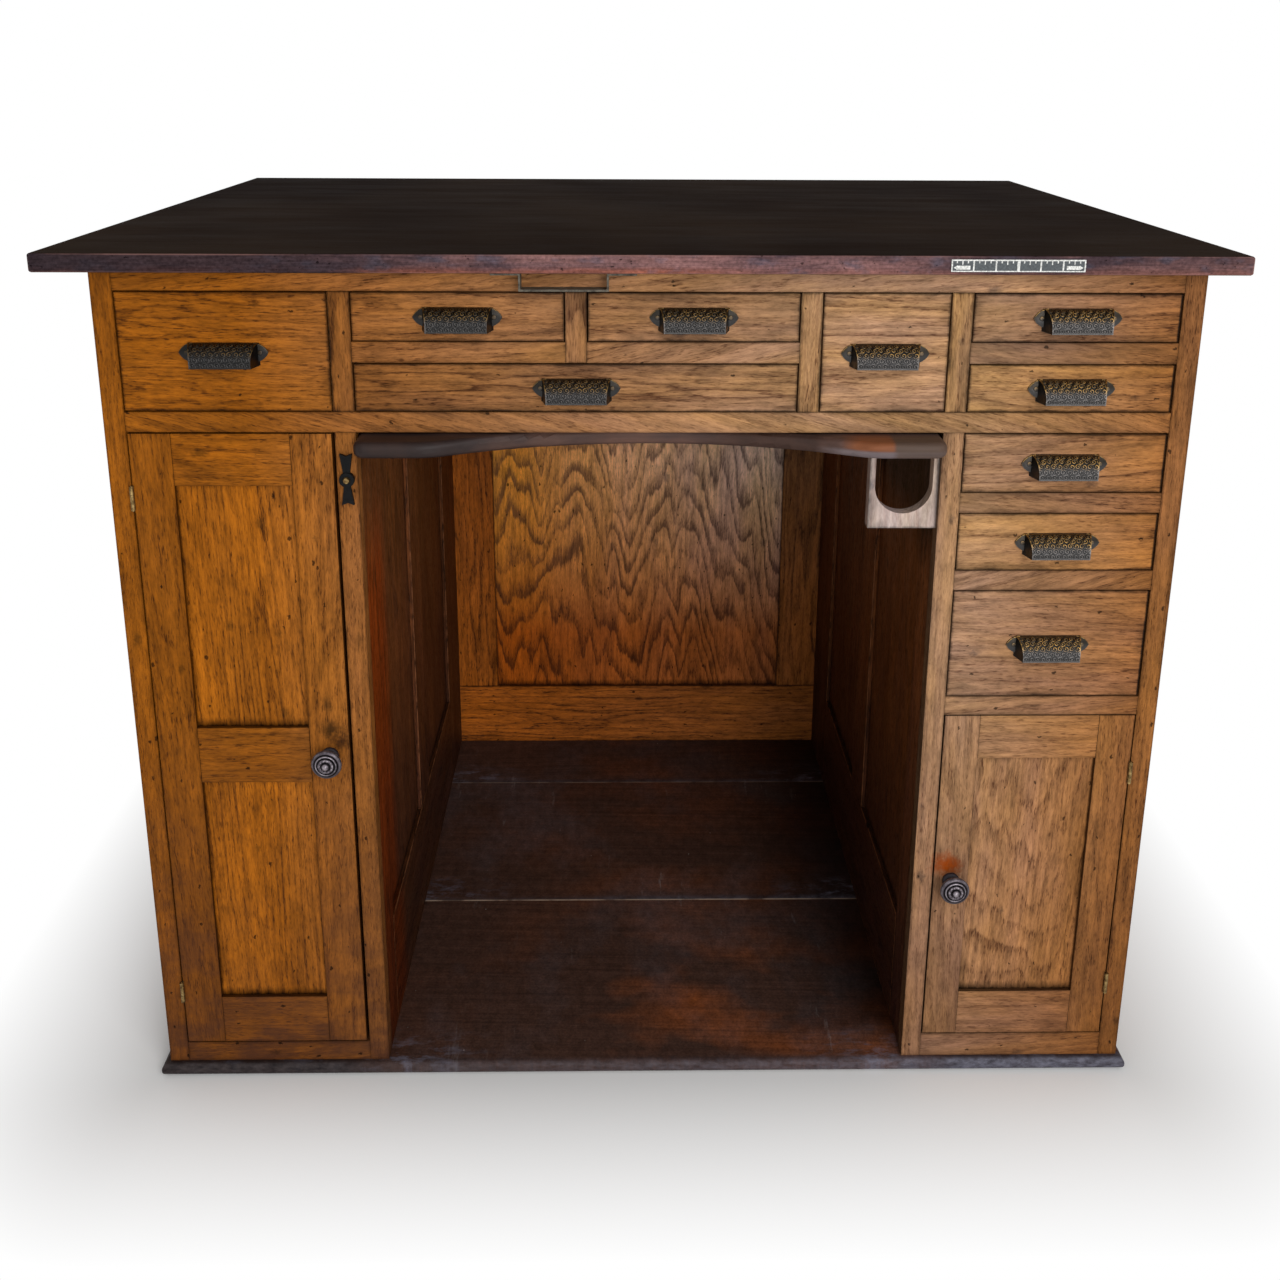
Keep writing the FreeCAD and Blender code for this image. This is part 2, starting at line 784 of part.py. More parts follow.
def hang(hinge, x, z, turn):
    """Copies of a hinge's two halves near the ends of a door's edge."""
    y = front - knuckle_radius - hinge_play
    levels = (z[0] + hinge_end_distance, z[1] - hinge_end_distance)
    return [[copy_at("hinge_half", half, x, y, level, turn) for level in levels] for half in hinge]


def make_knob():
    """A turned knob on the Y axis: foot, neck, cove, rim, and a bead round a low pointed button."""
    body = new_body("turned_knob")
    sketch = new_sketch(body, "YZ_Plane")
    head = knob_head_thickness - knob_projection
    step = knob_step - knob_projection
    corners = [
        (-knob_projection, 0),
        (0, 0),
        (0, knob_foot_radius),
        (-knob_foot_thickness, knob_foot_radius),
        (-knob_foot_thickness * 2, knob_neck_radius),
        (head + knob_cove, knob_neck_radius),
        (head, knob_radius - knob_rim),
        (head - knob_rim, knob_radius),
        (head - knob_rim * 2, knob_radius),
        (step, knob_bead_radius),
        (step - knob_bead_rise, knob_bead_radius - knob_bead_rise / 2),
        (step - knob_bead_rise, knob_bead_radius - knob_bead_width),
        (step, knob_bead_radius - knob_bead_width),
        (knob_crown - knob_projection, knob_button_radius),
    ]
    outline(sketch, corners)
    turned = body.newObject("PartDesign::Revolution", "knob_turning")
    turned.Profile = sketch
    turned.ReferenceAxis = (sketch, ["H_Axis"])
    turned.Angle = 360
    doc.recompute()
    return body


def door_frame(label, members, leaves, hinge_stile):
    """A door's frame with its hinge leaves let into one stile."""
    beds = compound(f"{label}_hinge_beds", leaves)
    members[hinge_stile] = cut(f"{label}_hinge_stile", members[hinge_stile], beds)
    group_node(f"{label}_frame", members)
    group_node(f"{label}_hinge_leaves", leaves)


def make_doors():
    hinge = make_hinge()
    knob = make_knob()
    thick = (front, face_back)
    hinge_line = column_outer - door_gap / 2

    x = (door_gap - column_outer, -column_inner - left_latch_gap)
    z = (base_thickness + left_bottom_rail + door_gap, row_3_top - door_gap)
    stiles = [(x[0], x[0] + left_door_stile), (x[1] - left_door_stile, x[1])]
    middle = z[0] + left_door_middle_height
    rails = [
        (z[0], z[0] + left_door_bottom_rail),
        (middle, middle + left_door_middle_rail),
        (z[1] - left_door_top_rail, z[1]),
    ]
    members, panels = panelled("left_door", "x", thick, stiles, rails)
    left_fixed, left_moving = hang(hinge, -hinge_line, z, FreeCAD.Rotation())
    door_frame("left_door", members, left_moving, 0)
    group_node("left_door_panels", panels)
    knob_x = x[1] - left_door_stile / 2
    knob_z = middle + left_door_middle_rail / 2
    node("left_door_knob", copy_at("left_door_knob", knob, knob_x, front, knob_z))

    x = (column_inner + right_latch_gap, column_outer - door_gap)
    z = (base_thickness + right_bottom_rail + door_gap, right_door_top - door_gap)
    stiles = [(x[0], x[0] + right_door_stile), (x[1] - right_door_stile, x[1])]
    rails = [(z[0], z[0] + right_door_bottom_rail), (z[1] - right_door_top_rail, z[1])]
    members, panels = panelled("right_door", "x", thick, stiles, rails)
    over = FreeCAD.Rotation(FreeCAD.Vector(0, 1, 0), 180)
    right_fixed, right_moving = hang(hinge, hinge_line, z, over)
    door_frame("right_door", members, right_moving, 1)
    group_node("right_door_panel", panels)
    knob_x = x[0] + right_door_stile / 2
    knob_z = (z[0] + z[1]) / 2
    node("right_door_knob", copy_at("right_door_knob", knob, knob_x, front, knob_z))

    group_node("hinge_fixed_leaves", left_fixed + right_fixed)
    return left_fixed, right_fixed


def make_turn_button():
    """The fishtailed iron turn button, upright in its released place, and the screw it turns on."""
    body = new_body("turn_button_casting")
    sketch = new_sketch(body, "XZ_Plane")
    tip = button_tip_width / 2
    waist = button_waist_width / 2
    notch = button_reach - button_notch
    corners = [
        (tip, button_reach),
        (0, notch),
        (-tip, button_reach),
        (-waist, button_hub_radius),
        (-waist, -button_hub_radius),
        (-tip, -button_reach),
        (0, -notch),
        (tip, -button_reach),
        (waist, -button_hub_radius),
        (waist, button_hub_radius),
    ]
    outline(sketch, corners)
    pad(body, sketch, button_thickness)
    sketch = new_sketch(body, "XZ_Plane")
    ring(sketch, 0, 0, button_hub_radius)
    pad(body, sketch, button_hub_height)
    sketch = new_sketch(body, "XZ_Plane")
    ring(sketch, 0, 0, button_screw_radius + button_play)
    pocket_through(body, sketch)
    x = -half_knee - stile_width / 2
    level = row_3_top - button_drop
    node("turn_button", place(body, x, front - button_stand, level))

    seat = button_stand + button_hub_height + button_play
    shank = rod("button_shank", button_screw_radius, (-button_screw_length, seat))
    head = doc.addObject("Part::Cone", "button_screw_head")
    bind(head, "Radius1", button_head_radius)
    bind(head, "Radius2", button_head_radius - button_head_height / 2)
    bind(head, "Height", button_head_height)
    place(head, 0, 0, seat)
    screw = fuse("button_screw", [shank, head])
    outward = FreeCAD.Rotation(FreeCAD.Vector(1, 0, 0), 90)
    return node("turn_button_screw", copy_at("turn_button_screw", screw, x, front, level, outward))


def make_apron():
    """The slide under the middle rail, with a belly cut between two horns and a rounded edge."""
    body = new_body("apron_slide")
    half = half_knee - apron_side_gap
    nose = front - apron_projection
    sketch = new_sketch(body, "XY_Plane")
    outline(sketch, rectangle((-half, half), (nose, nose + apron_projection + apron_length)))
    pad(body, sketch, apron_thickness)
    reach = half - horn_width
    belly_radius = (reach * reach + belly_depth * belly_depth) / (belly_depth * 2)
    sketch = new_sketch(body, "XY_Plane")
    ring(sketch, 0, nose + belly_depth - belly_radius, belly_radius)
    shaped = pocket_through(body, sketch)

    def at_front(edge, offset):
        middle = edge.BoundBox.Center
        on_edge = abs(abs(middle.x) - offset.value) < 0.01
        return is_upright(edge) and on_edge and middle.y < nose.value + 0.01

    shaped = round_edges(body, shaped, horn_round, lambda edge: at_front(edge, reach))
    shaped = round_edges(body, shaped, horn_corner_round, lambda edge: at_front(edge, half))
    limit = nose.value + belly_depth.value + 0.01
    round_edges(body, shaped, apron_edge_round, lambda edge: is_level(edge) and edge.BoundBox.YMax < limit)
    level = row_3_top - apron_clearance - apron_thickness
    node("apron_board", place(body, 0, 0, level))


def make_fittings():
    strap = new_body("strap_iron")
    sketch = new_sketch(strap, "XZ_Plane")
    inner = strap_opening / 2
    outer = inner + strap_thickness
    end = outer + strap_flange
    foot = -strap_drop - strap_thickness
    corners = [
        (-end, -strap_thickness),
        (-outer, -strap_thickness),
        (-outer, foot),
        (outer, foot),
        (outer, -strap_thickness),
        (end, -strap_thickness),
        (end, 0),
        (inner, 0),
        (inner, -strap_drop),
        (-inner, -strap_drop),
        (-inner, 0),
        (-end, 0),
    ]
    outline(sketch, corners)
    pad(strap, sketch, strap_depth)
    node("bench_pin_strap", place(strap, strap_centre, front - strap_setback, case_top))

    edge = front - top_front_overhang
    centre = case_top + top_thickness / 2
    ruler_end = half_case + top_right_overhang - ruler_inset
    ruler = board(
        "ruler_plate",
        (ruler_end - ruler_length, ruler_end),
        (edge - ruler_thickness, edge),
        (centre - ruler_height / 2, centre + ruler_height / 2),
    )
    node("ruler_plate", ruler)


def make_tool_board():
    """The small board with a U-shaped notch at the right of the kneehole."""
    top = row_3_top - apron_clearance - apron_thickness - tool_board_clearance
    floor = top - tool_board_height
    y = (front + tool_board_setback, front + tool_board_setback + tool_board_thickness)
    blank = board("tool_board_blank", (half_knee - tool_board_width, half_knee), y, (floor, top))
    centre = half_knee - notch_cheek - notch_radius
    level = floor + notch_floor + notch_radius
    round_part = rod("notch_round", notch_radius, (0, tool_board_thickness))
    inward = FreeCAD.Rotation(FreeCAD.Vector(1, 0, 0), -90)
    notch = [
        copy_at("notch_floor", round_part, centre, y[0], level, inward),
        board("notch_throat", (centre - notch_radius, centre + notch_radius), y, (level, top)),
    ]
    node("tool_board", cut("tool_board", blank, fuse("notch", notch)))


make_top()
make_base()
left_hinges, right_hinges = make_doors()
screw = make_turn_button()
make_face_frame(left_hinges, right_hinges, screw)
make_walls()
make_back()
make_drawer_carcass()
make_drawers()
make_apron()
make_fittings()
make_tool_board()
doc.recompute()

failed = [item.Name for item in doc.Objects if {"Invalid", "Error"} & set(item.State)]
if failed:
    raise RuntimeError(f"objects that did not build: {failed}")
for item in nodes:
    if item.Shape.isNull() or not item.Shape.isValid():
        raise RuntimeError(f"bad shape: {item.Label}")

os.makedirs("parts", exist_ok=True)
for item in nodes:
    item.Shape.exportStep(f"parts/{item.Label}.step")
solids = sum(len(item.Shape.Solids) for item in nodes)
print(f"{len(nodes)} pieces or groups, {solids} solids")
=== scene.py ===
"""Looks of a jeweller's kneehole desk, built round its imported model.

Metres, +Z up. The desk faces -Y and stands on the floor at z = 0.
"""

import json
import math
import random

import bmesh
import bpy
import numpy as np
from mathutils import Matrix, Vector

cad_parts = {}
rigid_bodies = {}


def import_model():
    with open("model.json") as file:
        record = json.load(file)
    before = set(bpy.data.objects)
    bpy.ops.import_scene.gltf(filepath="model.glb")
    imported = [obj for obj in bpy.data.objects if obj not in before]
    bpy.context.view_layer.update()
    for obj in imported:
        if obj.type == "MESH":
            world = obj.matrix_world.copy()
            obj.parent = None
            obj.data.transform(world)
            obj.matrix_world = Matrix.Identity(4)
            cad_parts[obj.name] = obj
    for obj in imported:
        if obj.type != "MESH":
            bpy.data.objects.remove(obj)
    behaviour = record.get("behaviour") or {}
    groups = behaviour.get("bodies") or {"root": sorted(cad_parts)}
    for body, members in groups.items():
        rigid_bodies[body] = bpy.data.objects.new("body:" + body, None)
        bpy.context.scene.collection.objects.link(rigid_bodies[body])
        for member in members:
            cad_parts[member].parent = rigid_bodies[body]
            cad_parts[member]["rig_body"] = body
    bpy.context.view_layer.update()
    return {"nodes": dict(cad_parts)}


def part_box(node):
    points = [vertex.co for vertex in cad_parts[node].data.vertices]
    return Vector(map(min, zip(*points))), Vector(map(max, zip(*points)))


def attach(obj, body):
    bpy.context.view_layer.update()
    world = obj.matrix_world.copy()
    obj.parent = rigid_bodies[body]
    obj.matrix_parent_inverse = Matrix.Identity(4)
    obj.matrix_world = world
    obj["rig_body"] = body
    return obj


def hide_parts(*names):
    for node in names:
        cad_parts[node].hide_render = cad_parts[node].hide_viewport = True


for old in list(bpy.data.objects):
    bpy.data.objects.remove(old)
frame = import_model()
nodes = frame["nodes"]

# Camera of the photograph: pixels of the square image, degrees, metres
IMAGE_SIDE = 1280
FOCAL_PIXELS = 1349.73
CENTRE_PIXEL = (639.99, 439.94)
CAMERA_YAW = 1.0049
CAMERA_PITCH = 15.7408
CAMERA_ROLL = -0.3124
CAMERA_PLACE = (-0.03992, -2.0051, 1.33162)
SENSOR = 36.0

# Light. Each lamp has a name, a place, a size and a power
WORLD_LIGHT = 0.36
LAMPS = (("key", (1.7, -4.2, 3.0), 2.6, 84), ("fill", (0.7, -4.6, 0.95), 2.4, 74))
AIM = (0, -0.4, 0.6)
FLOOR_REACH = 9.0
FLOOR_FADE = (0.0, 0.3)
FLOOR_DROP = 0.0003
WHITE = (1, 1, 1, 1)

# Boards
WELD = 1e-5
BOARD_SPREAD = 3.0
BEVELS = {"oak": 0.0009, "dark_oak": 0.0009, "dark_top": 0.0012, "dark_base": 0.0009}
SMALL_BEVEL = 0.0004
BEVEL_ANGLE = 35
RAGGED = dict(detail=4, roughness=0.65)

# Cast bin pull, the size of the nodes that it replaces
PULL_WIDTH = 0.104
HOOD_WIDTH = 0.071
HOOD_RADIUS = 0.022
HOOD_LIP = 0.005
HOOD_WALL = 0.0025
HOOD_FLARE = 0.006
HOOD_GRID = (150, 78)  # columns and rows of the relief
CHEEK_RIM = 0.07  # of the way to the cheek's middle
CHEEK_DEPTH = 0.0006
EAR_HEIGHT = 0.023
EAR_ARC = 0.019
EAR_THICKNESS = 0.0025
EAR_RIM = 0.0012
EAR_SCREW = 0.0032
SCREW_PLACE = 0.42  # of the way to the ear's tip
SCREW_HEAD = ((0, 1), (-0.25, 1), (-0.5, 0.8), (-0.6, 0.5), (-0.6, 0))
RELIEF = 0.0008
SCROLL_PITCH = 7.1  # millimetres
SCROLL_WAVE = 2.5
SCROLL_ROWS = ((8.6, 0.5), (15.4, 0.0), (22.2, 0.5), (29.0, 0.0), (35.8, 0.5))
SCROLL_BAND = (5.0, 38.2)
STIPPLE = (2.3, 2.1)

# Turned knob: millimetres from the door, share of the radius, and relief
KNOB_RADIUS = 0.019
KNOB_PROJECTION = 0.035
KNOB_PROFILE = (
    (0, 0, 0.2), (0, 0.58, 0.2), (2, 0.6, 0.5), (4, 0.54, 0.3), (6.5, 0.37, 0.1), (12, 0.36, 0.1),
    (16, 0.42, 0.1), (18.5, 0.62, 0.2), (20.2, 0.82, 0.4), (21.5, 0.95, 0.7), (23.2, 1, 0.8),
    (25.2, 1, 0.8), (26.8, 0.96, 0.75), (27.8, 0.89, 0.7), (28.1, 0.82, 0.5), (27.3, 0.79, 0),
    (27.3, 0.75, 0), (28.8, 0.73, 0.6), (29.8, 0.69, 0.95), (29.9, 0.65, 0.9), (29.2, 0.61, 0.5),
    (28.2, 0.59, 0), (28.2, 0.55, 0), (30.2, 0.53, 0.5), (31.2, 0.48, 0.9), (31.4, 0.41, 0.75),
    (31.2, 0.34, 0.6), (30.2, 0.31, 0.05), (30.2, 0.27, 0), (31.8, 0.25, 0.5), (33.4, 0.2, 0.9),
    (34.4, 0.13, 1), (34.9, 0.06, 1), (35, 0, 1),
)
KNOB_STEPS = 72
BEADS = 10
BEAD_RISE = 0.0004
BEAD_RING = (0.32, 0.54)  # shares of the radius
BEAD_START = 0.029

# Inch scale: half the width of its lines, the length of its ticks, and its arrows
INCHES = 6
MARK_RELIEF = 0.0002
MARK_BORDER = 0.0016
MARK_FOOT = 0.8  # of the border
MIDDLE_LINE = 0.0016
INCH_LINE = 0.0009
TICK_LINE = 0.0006
HALF_TICK = 0.0042
QUARTER_TICK = 0.0026
ARROW_GAP = 0.0009
ARROW_TIP = 0.0012
ARROW_HEAD = 0.004
ARROW_TAIL = 0.0055
ARROW_LEVELS = (0.0004, 0.0026, 0.0048, 0.0052)


def paint(red, green, blue):
    """A screen colour, 0 to 255, as the renderer's linear colour."""
    parts = [value / 255 for value in (red, green, blue)]
    linear = [p / 12.92 if p <= 0.04045 else ((p + 0.055) / 1.055) ** 2.4 for p in parts]
    return (*linear, 1.0)


def knob_seat(node):
    """Where a knob's axis meets its door."""
    low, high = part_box(node)
    return Vector(((low.x + high.x) / 2, high.y, (low.z + high.z) / 2))


def new_object(name, data):
    made = bpy.data.objects.new(name, data)
    bpy.context.scene.collection.objects.link(made)
    return made


class Graph:
    """A tree of nodes. A value given to a call is a socket or a plain constant. Three numbers
    for a colour are a screen colour, four a linear one."""

    def __init__(self, tree):
        self.tree = tree

    def feed(self, socket, value):
        if isinstance(value, bpy.types.NodeSocket):
            self.tree.links.new(value, socket)
        elif socket.type == "RGBA" and len(value) == 3:
            socket.default_value = paint(*value)
        else:
            socket.default_value = value

    def add(self, kind, inputs=None, family="ShaderNode", **settings):
        made = self.tree.nodes.new(family + kind)
        for key, value in settings.items():
            setattr(made, key, value)
        for key, value in (inputs or {}).items():
            self.feed(made.inputs[key], value)
        return made

    def math(self, operation, *values):
        return self.add("Math", dict(enumerate(values)), operation=operation).outputs[0]

    def times(self, first, second):
        return self.math("MULTIPLY", first, second)

    def line(self, value, slope, base):
        return self.math("MULTIPLY_ADD", value, slope, base)

    def minus(self, first, second):
        return self.math("SUBTRACT", first, second)

    def vector(self, operation, *values):
        return self.add("VectorMath", dict(enumerate(values)), operation=operation).outputs[0]

    def scale(self, value, factor):
        return self.add("VectorMath", {0: value, "Scale": factor}, operation="SCALE").outputs[0]

    def split(self, value):
        return self.add("SeparateXYZ", {0: value}).outputs[:3]

    def attribute(self, name, output="Vector"):
        return self.add("Attribute", attribute_name=name).outputs[output]

    def place(self):
        return self.add("TexCoord").outputs["Object"]

    def noise(self, where, stretch, detail=2.0, roughness=0.5, output="Fac"):
        scaled = self.vector("MULTIPLY", where, stretch)
        inputs = {"Vector": scaled, "Scale": 1.0, "Detail": detail, "Roughness": roughness}
        return self.add("TexNoise", inputs).outputs[output]

    def spots(self, *stretch, **rest):
        """Noise by place on the desk."""
        return self.noise(self.place(), stretch, **rest)

    def cells(self, where, stretch):
        """Flat cells over the first two coordinates: the distance from a cell's point, and its lot."""
        scaled = self.vector("MULTIPLY", where, stretch)
        made = self.add("TexVoronoi", {"Vector": scaled, "Scale": 1.0}, voronoi_dimensions="2D")
        return made.outputs["Distance"], self.split(made.outputs["Color"])[0]

    def ramp(self, value, low, high, first=0.0, last=1.0):
        inputs = {"Value": value, "From Min": low, "From Max": high, "To Min": first, "To Max": last}
        return self.add("MapRange", inputs).outputs["Result"]

    def fall(self, value, low, high):
        return self.ramp(value, low, high, 1, 0)

    def shade(self, colour, value, *span):
        """A colour made darker or lighter by a ramp."""
        return self.scale(colour, self.ramp(value, *span))

    def mix(self, factor, first, second):
        return self.add("Mix", {0: factor, 6: first, 7: second}, data_type="RGBA").outputs[2]

    def seen_ray(self):
        """1 for rays that show the surroundings: straight to the camera, mirrored or passed through."""
        path = self.add("LightPath").outputs
        total = self.math("MAXIMUM", path["Is Camera Ray"], path["Is Glossy Ray"])
        return self.math("MAXIMUM", total, path["Is Transmission Ray"])


class Material(Graph):
    def __init__(self, name):
        self.material = bpy.data.materials.new(name)
        self.material.use_nodes = True
        super().__init__(self.material.node_tree)
        self.shader = self.tree.nodes["Principled BSDF"]

    def finish(self, colour, roughness, height=None, depth=0.0003, **constants):
        self.feed(self.shader.inputs["Base Color"], colour)
        self.feed(self.shader.inputs["Roughness"], roughness)
        for key, value in constants.items():
            self.shader.inputs[key.replace("_", " ")].default_value = value
        if height is not None:
            bump = self.add("Bump", {"Height": height, "Distance": depth, "Strength": 1.0})
            self.feed(self.shader.inputs["Normal"], bump.outputs["Normal"])
        return self.material


class Board:
    """What a board's shader knows of the board, from the attributes that dress_boards writes."""

    def __init__(self, graph):
        self.graph = graph
        self.grain = graph.attribute("grain")
        self.place = graph.attribute("place")
        self.half = graph.attribute("half")
        self.across = graph.split(self.place)[1]
        self.tone, self.hue, self.waves = graph.split(graph.attribute("shade"))
        # The edges hold the inset, how much dirt and painted shade darken the edges, and how much painted
        # shade darkens the narrow side faces
        self.inset, self.grime, self.side = graph.split(graph.attribute("edges"))

    def noise(self, along, across, **rest):
        """Noise that is drawn out along the grain."""
        return self.graph.noise(self.grain, (along, across, across), **rest)

    def edge(self):
        """Distance to the nearest edge of the face: the middle one of the three gaps to the sides."""
        g = self.graph
        gap = g.vector("SUBTRACT", self.half, g.vector("ABSOLUTE", self.place))
        first, second, third = g.split(gap)
        low = g.math("MINIMUM", first, second)
        high = g.math("MAXIMUM", first, second)
        return g.minus(g.math("MAXIMUM", low, g.math("MINIMUM", high, third)), self.inset)

    def front(self):
        """Distance behind the board's front edge, for boards that lie flat along X."""
        g = self.graph
        return g.math("ADD", self.across, g.split(self.half)[1])

    def foot(self):
        """Distance above the lower end of the part of a panel that shows."""
        g = self.graph
        along, reach = (g.split(value)[0] for value in (self.place, self.half))
        return g.minus(g.math("ADD", along, reach), self.inset)

    def rings(self, pores):
        """Growth rings cut by the board: 1 where a ring's dark early wood starts, falling to 0.
        Pores comb the rings' edges along the grain. Also gives how strong the board's rings are."""
        g = self.graph
        wander, density, strength = g.split(g.attribute("figure"))
        along, across, through = g.split(g.attribute("log"))
        broad = g.scale(self.grain, g.times(density, self.waves))
        slow = g.noise(broad, (0.016, 0.12, 0.12), output="Color")
        quick = g.noise(broad, (0.08, 0.57, 0.57), output="Color")
        stray = g.vector("SUBTRACT", g.vector("ADD", slow, g.scale(quick, 0.1)), (0.55, 0.55, 0.55))
        sway, lift, fold = g.split(g.scale(stray, g.times(wander, 5)))
        lift = g.line(g.math("ABSOLUTE", fold), -0.9, lift)
        pith_across, pith_depth, tilt = g.split(g.attribute("pith"))
        aside = g.math("ADD", g.minus(across, pith_across), sway)
        climb = g.line(along, tilt, lift)
        deep = g.math("ADD", g.minus(through, pith_depth), climb)
        square = g.line(aside, aside, g.times(deep, deep))
        count = g.times(g.math("SQRT", square), density)
        share = g.math("FRACT", g.line(pores, 0.35, count))
        early = g.times(g.ramp(share, 0, 0.1), g.fall(share, 0.1, 0.62))
        year = g.noise(g.add("CombineXYZ", {0: count}).outputs[0], (0.8, 1, 1), detail=1)
        patch = self.noise(5, 14)
        strength = g.times(strength, g.ramp(year, 0.32, 0.66, 0.3, 1))
        return early, g.times(strength, g.ramp(patch, 0.34, 0.6, 0.35, 1))


def stained(g, colour, centre, reach, stain):
    """Colour with a ragged patch round a place, for stained patches and for a painted shadow."""
    away = g.add("VectorMath", {0: g.place(), 1: centre}, operation="DISTANCE").outputs["Value"]
    blotch = g.spots(130, 130, 130, **RAGGED)
    away = g.line(g.minus(blotch, 0.5), reach * 1.6, away)
    return g.mix(g.ramp(away, reach * 0.1, reach, 0.85, 0), colour, stain)


def far_side(g, across, up):
    """0 to 1 towards the upper right of the desk, for bleached wood and painted light, sheen and shadow.
    across has where that begins and is full, up has two heights and the share at the lower one."""
    x, _, z = g.split(g.place())
    side = g.math("MINIMUM", g.ramp(x, *across), g.ramp(x, 0.4, 0.62, 1, 0.3))
    return g.times(side, g.ramp(z, *up, 1))


def wood(
    name, light, dark, far=None, fall=None, tints=(), pore=0.75, soil=0.0, worn=None, gap=None, stains=(),
    gloss=0.05,
):
    """Open-grained wood. far holds its colours towards the upper right, partly bleached wood and partly
    painted light, sheen and shadow, and where those begin, fall has two heights and the tint at each,
    tints each hold a tint of painted light and shade and where it runs out in x, y and z,
    soil is how much painted shade and dirt darken it near the floor, worn is the colour of
    rubbed edges with a painted highlight, gap is the x of board ends beside a wide gap, darkened there
    with painted shade, gloss is its specular level."""
    g = Material(name)
    board = Board(g)
    x, y, z = g.split(g.place())
    early, strength = board.rings(board.noise(32, 520))
    flecks = g.ramp(board.noise(90, 640), 0.53, 0.66)
    fine = g.ramp(board.noise(120, 1000), 0.48, 0.7)
    fibre = board.noise(7, 210, **RAGGED)
    mottle = board.noise(28, 120, detail=5, roughness=0.75)
    cloud = board.noise(4, 16, detail=4, roughness=0.6)
    smudge = board.noise(13, 42, **RAGGED)
    warm = board.noise(5, 22, detail=3)

    pitted = g.times(flecks, g.line(early, pore * 0.5, pore * 0.5))
    spared = 0.06
    # Colours towards the upper right: partly bleached wood, partly painted light, sheen and shadow
    if far:
        side = far_side(g, *far[2:])
        light = g.mix(side, light, far[0])
        dark = g.mix(side, dark, far[1])
        pitted = g.times(pitted, g.ramp(side, 0, 1, 1, 0.7))
        spared = g.ramp(side, 0, 1, 0.045, 0.06)
    depth = g.line(early, strength, pitted)
    depth = g.line(fine, 0.26, depth)
    depth = g.ramp(g.math("ADD", depth, g.ramp(fibre, 0.3, 0.7, -0.3, 0.4)), 0, 1)
    colour = g.mix(depth, light, dark)
    hue = g.line(board.hue, 0.55, g.ramp(warm, 0.34, 0.66, 0, 0.45))
    colour = g.vector("MULTIPLY", colour, g.mix(hue, (1.1, 1.07, 0.72, 1), (0.9, 0.93, 1.16, 1)))
    colour = g.shade(colour, board.tone, 0, 1, 0.78, 1.22)
    colour = g.shade(colour, cloud, 0.3, 0.7, 1.2, 0.8)
    colour = g.shade(colour, mottle, 0.3, 0.7, 1.36, 0.64)
    colour = g.shade(colour, smudge, 0.58, 0.74, 1, 0.62)
    if fall:
        colour = g.vector("MULTIPLY", colour, g.mix(g.ramp(z, *fall[:2]), *fall[2:]))
    # Patches of painted light and painted shadow
    for tint, *ends in tints:
        shares = [g.fall(value, *end) for value, end in zip((x, y, z), ends)]
        share = g.times(g.times(*shares[:2]), shares[2])
        colour = g.vector("MULTIPLY", colour, g.mix(share, WHITE, tint))
    # Darker towards the floor, and more on the left than the right: painted shade, with patches of dirt
    if soil:
        share = g.ramp(z, 0.02, 0.55, g.ramp(x, -0.2, 0.4, soil, soil * 0.4), 0)
        share = g.times(share, g.ramp(board.inset, 0, 0.004, 1, 0.35))
        patches = g.spots(16, 16, 30, detail=4, roughness=0.6)
        share = g.times(share, g.ramp(patches, 0.36, 0.62, 0.6, 1.2))
        colour = g.mix(share, colour, (70, 42, 30))
    # Ragged dark patches: real marks, and a painted shadow by the right knob
    for stain in stains:
        colour = stained(g, colour, *stain)

    # Darker along the edges of each face: dirt, and painted shade in the joints and gaps
    edge = board.edge()
    ragged = g.minus(board.noise(60, 120, **RAGGED), 0.5)
    near = g.line(ragged, 0.006, edge)
    colour = g.shade(colour, near, 0, 0.003, g.minus(1, board.grime), 1)
    gathered = g.ramp(board.noise(9, 30, detail=3), 0.48, 0.66, 0.1, 0.75)
    gathered = g.minus(1, g.times(gathered, board.grime))
    colour = g.shade(colour, near, 0, 0.013, gathered, 1)
    # Narrow side faces darker: painted shade
    colour = g.shade(colour, board.side, 0, 1, 1, 0.3)
    # Darker at the foot of each panel: dirt, and painted shade on the ledge below it
    foot = g.ramp(g.line(ragged, 0.014, board.foot()), 0, 0.013, 0.16, 1)
    colour = g.scale(colour, g.math("MAXIMUM", foot, g.fall(board.inset, 0, 0.004)))
    # A dark line at board ends beside a wide gap: painted shade of the gap
    if gap:
        line = g.fall(g.math("ABSOLUTE", g.minus(x, gap)), 0.0012, 0.0028)
        line = g.times(line, g.ramp(board.grime, 0.5, 0.7))
        colour = g.shade(colour, line, 0, 1, 1, 0.1)
    # Lighter rubbed edges: wear, and a painted highlight
    if worn:
        rubbed = g.times(g.fall(edge, 0.0004, 0.0016), g.ramp(ragged, -0.15, 0.05))
        colour = g.mix(g.times(rubbed, 0.7), colour, worn)
    shake = g.scale(board.noise(240, 240, output="Color"), 0.006)
    far_off, lot = g.cells(g.vector("ADD", board.grain, shake), (19, 36, 1))
    radius = g.minus(g.times(lot, 0.115), spared)
    dent = g.fall(g.minus(far_off, radius), -0.014, 0.008)
    colour = g.shade(colour, dent, 0, 1, 1, 0.22)
    far_off, lot = g.cells(g.vector("ADD", board.grain, g.scale(shake, 1.5)), (8, 15, 1))
    radius = g.line(lot, 0.2, -0.115)
    bruise = g.ramp(g.minus(far_off, radius), -0.035, 0.03, 0.6, 0)
    colour = g.mix(bruise, colour, g.vector("MULTIPLY", colour, (0.2, 0.24, 0.38)))

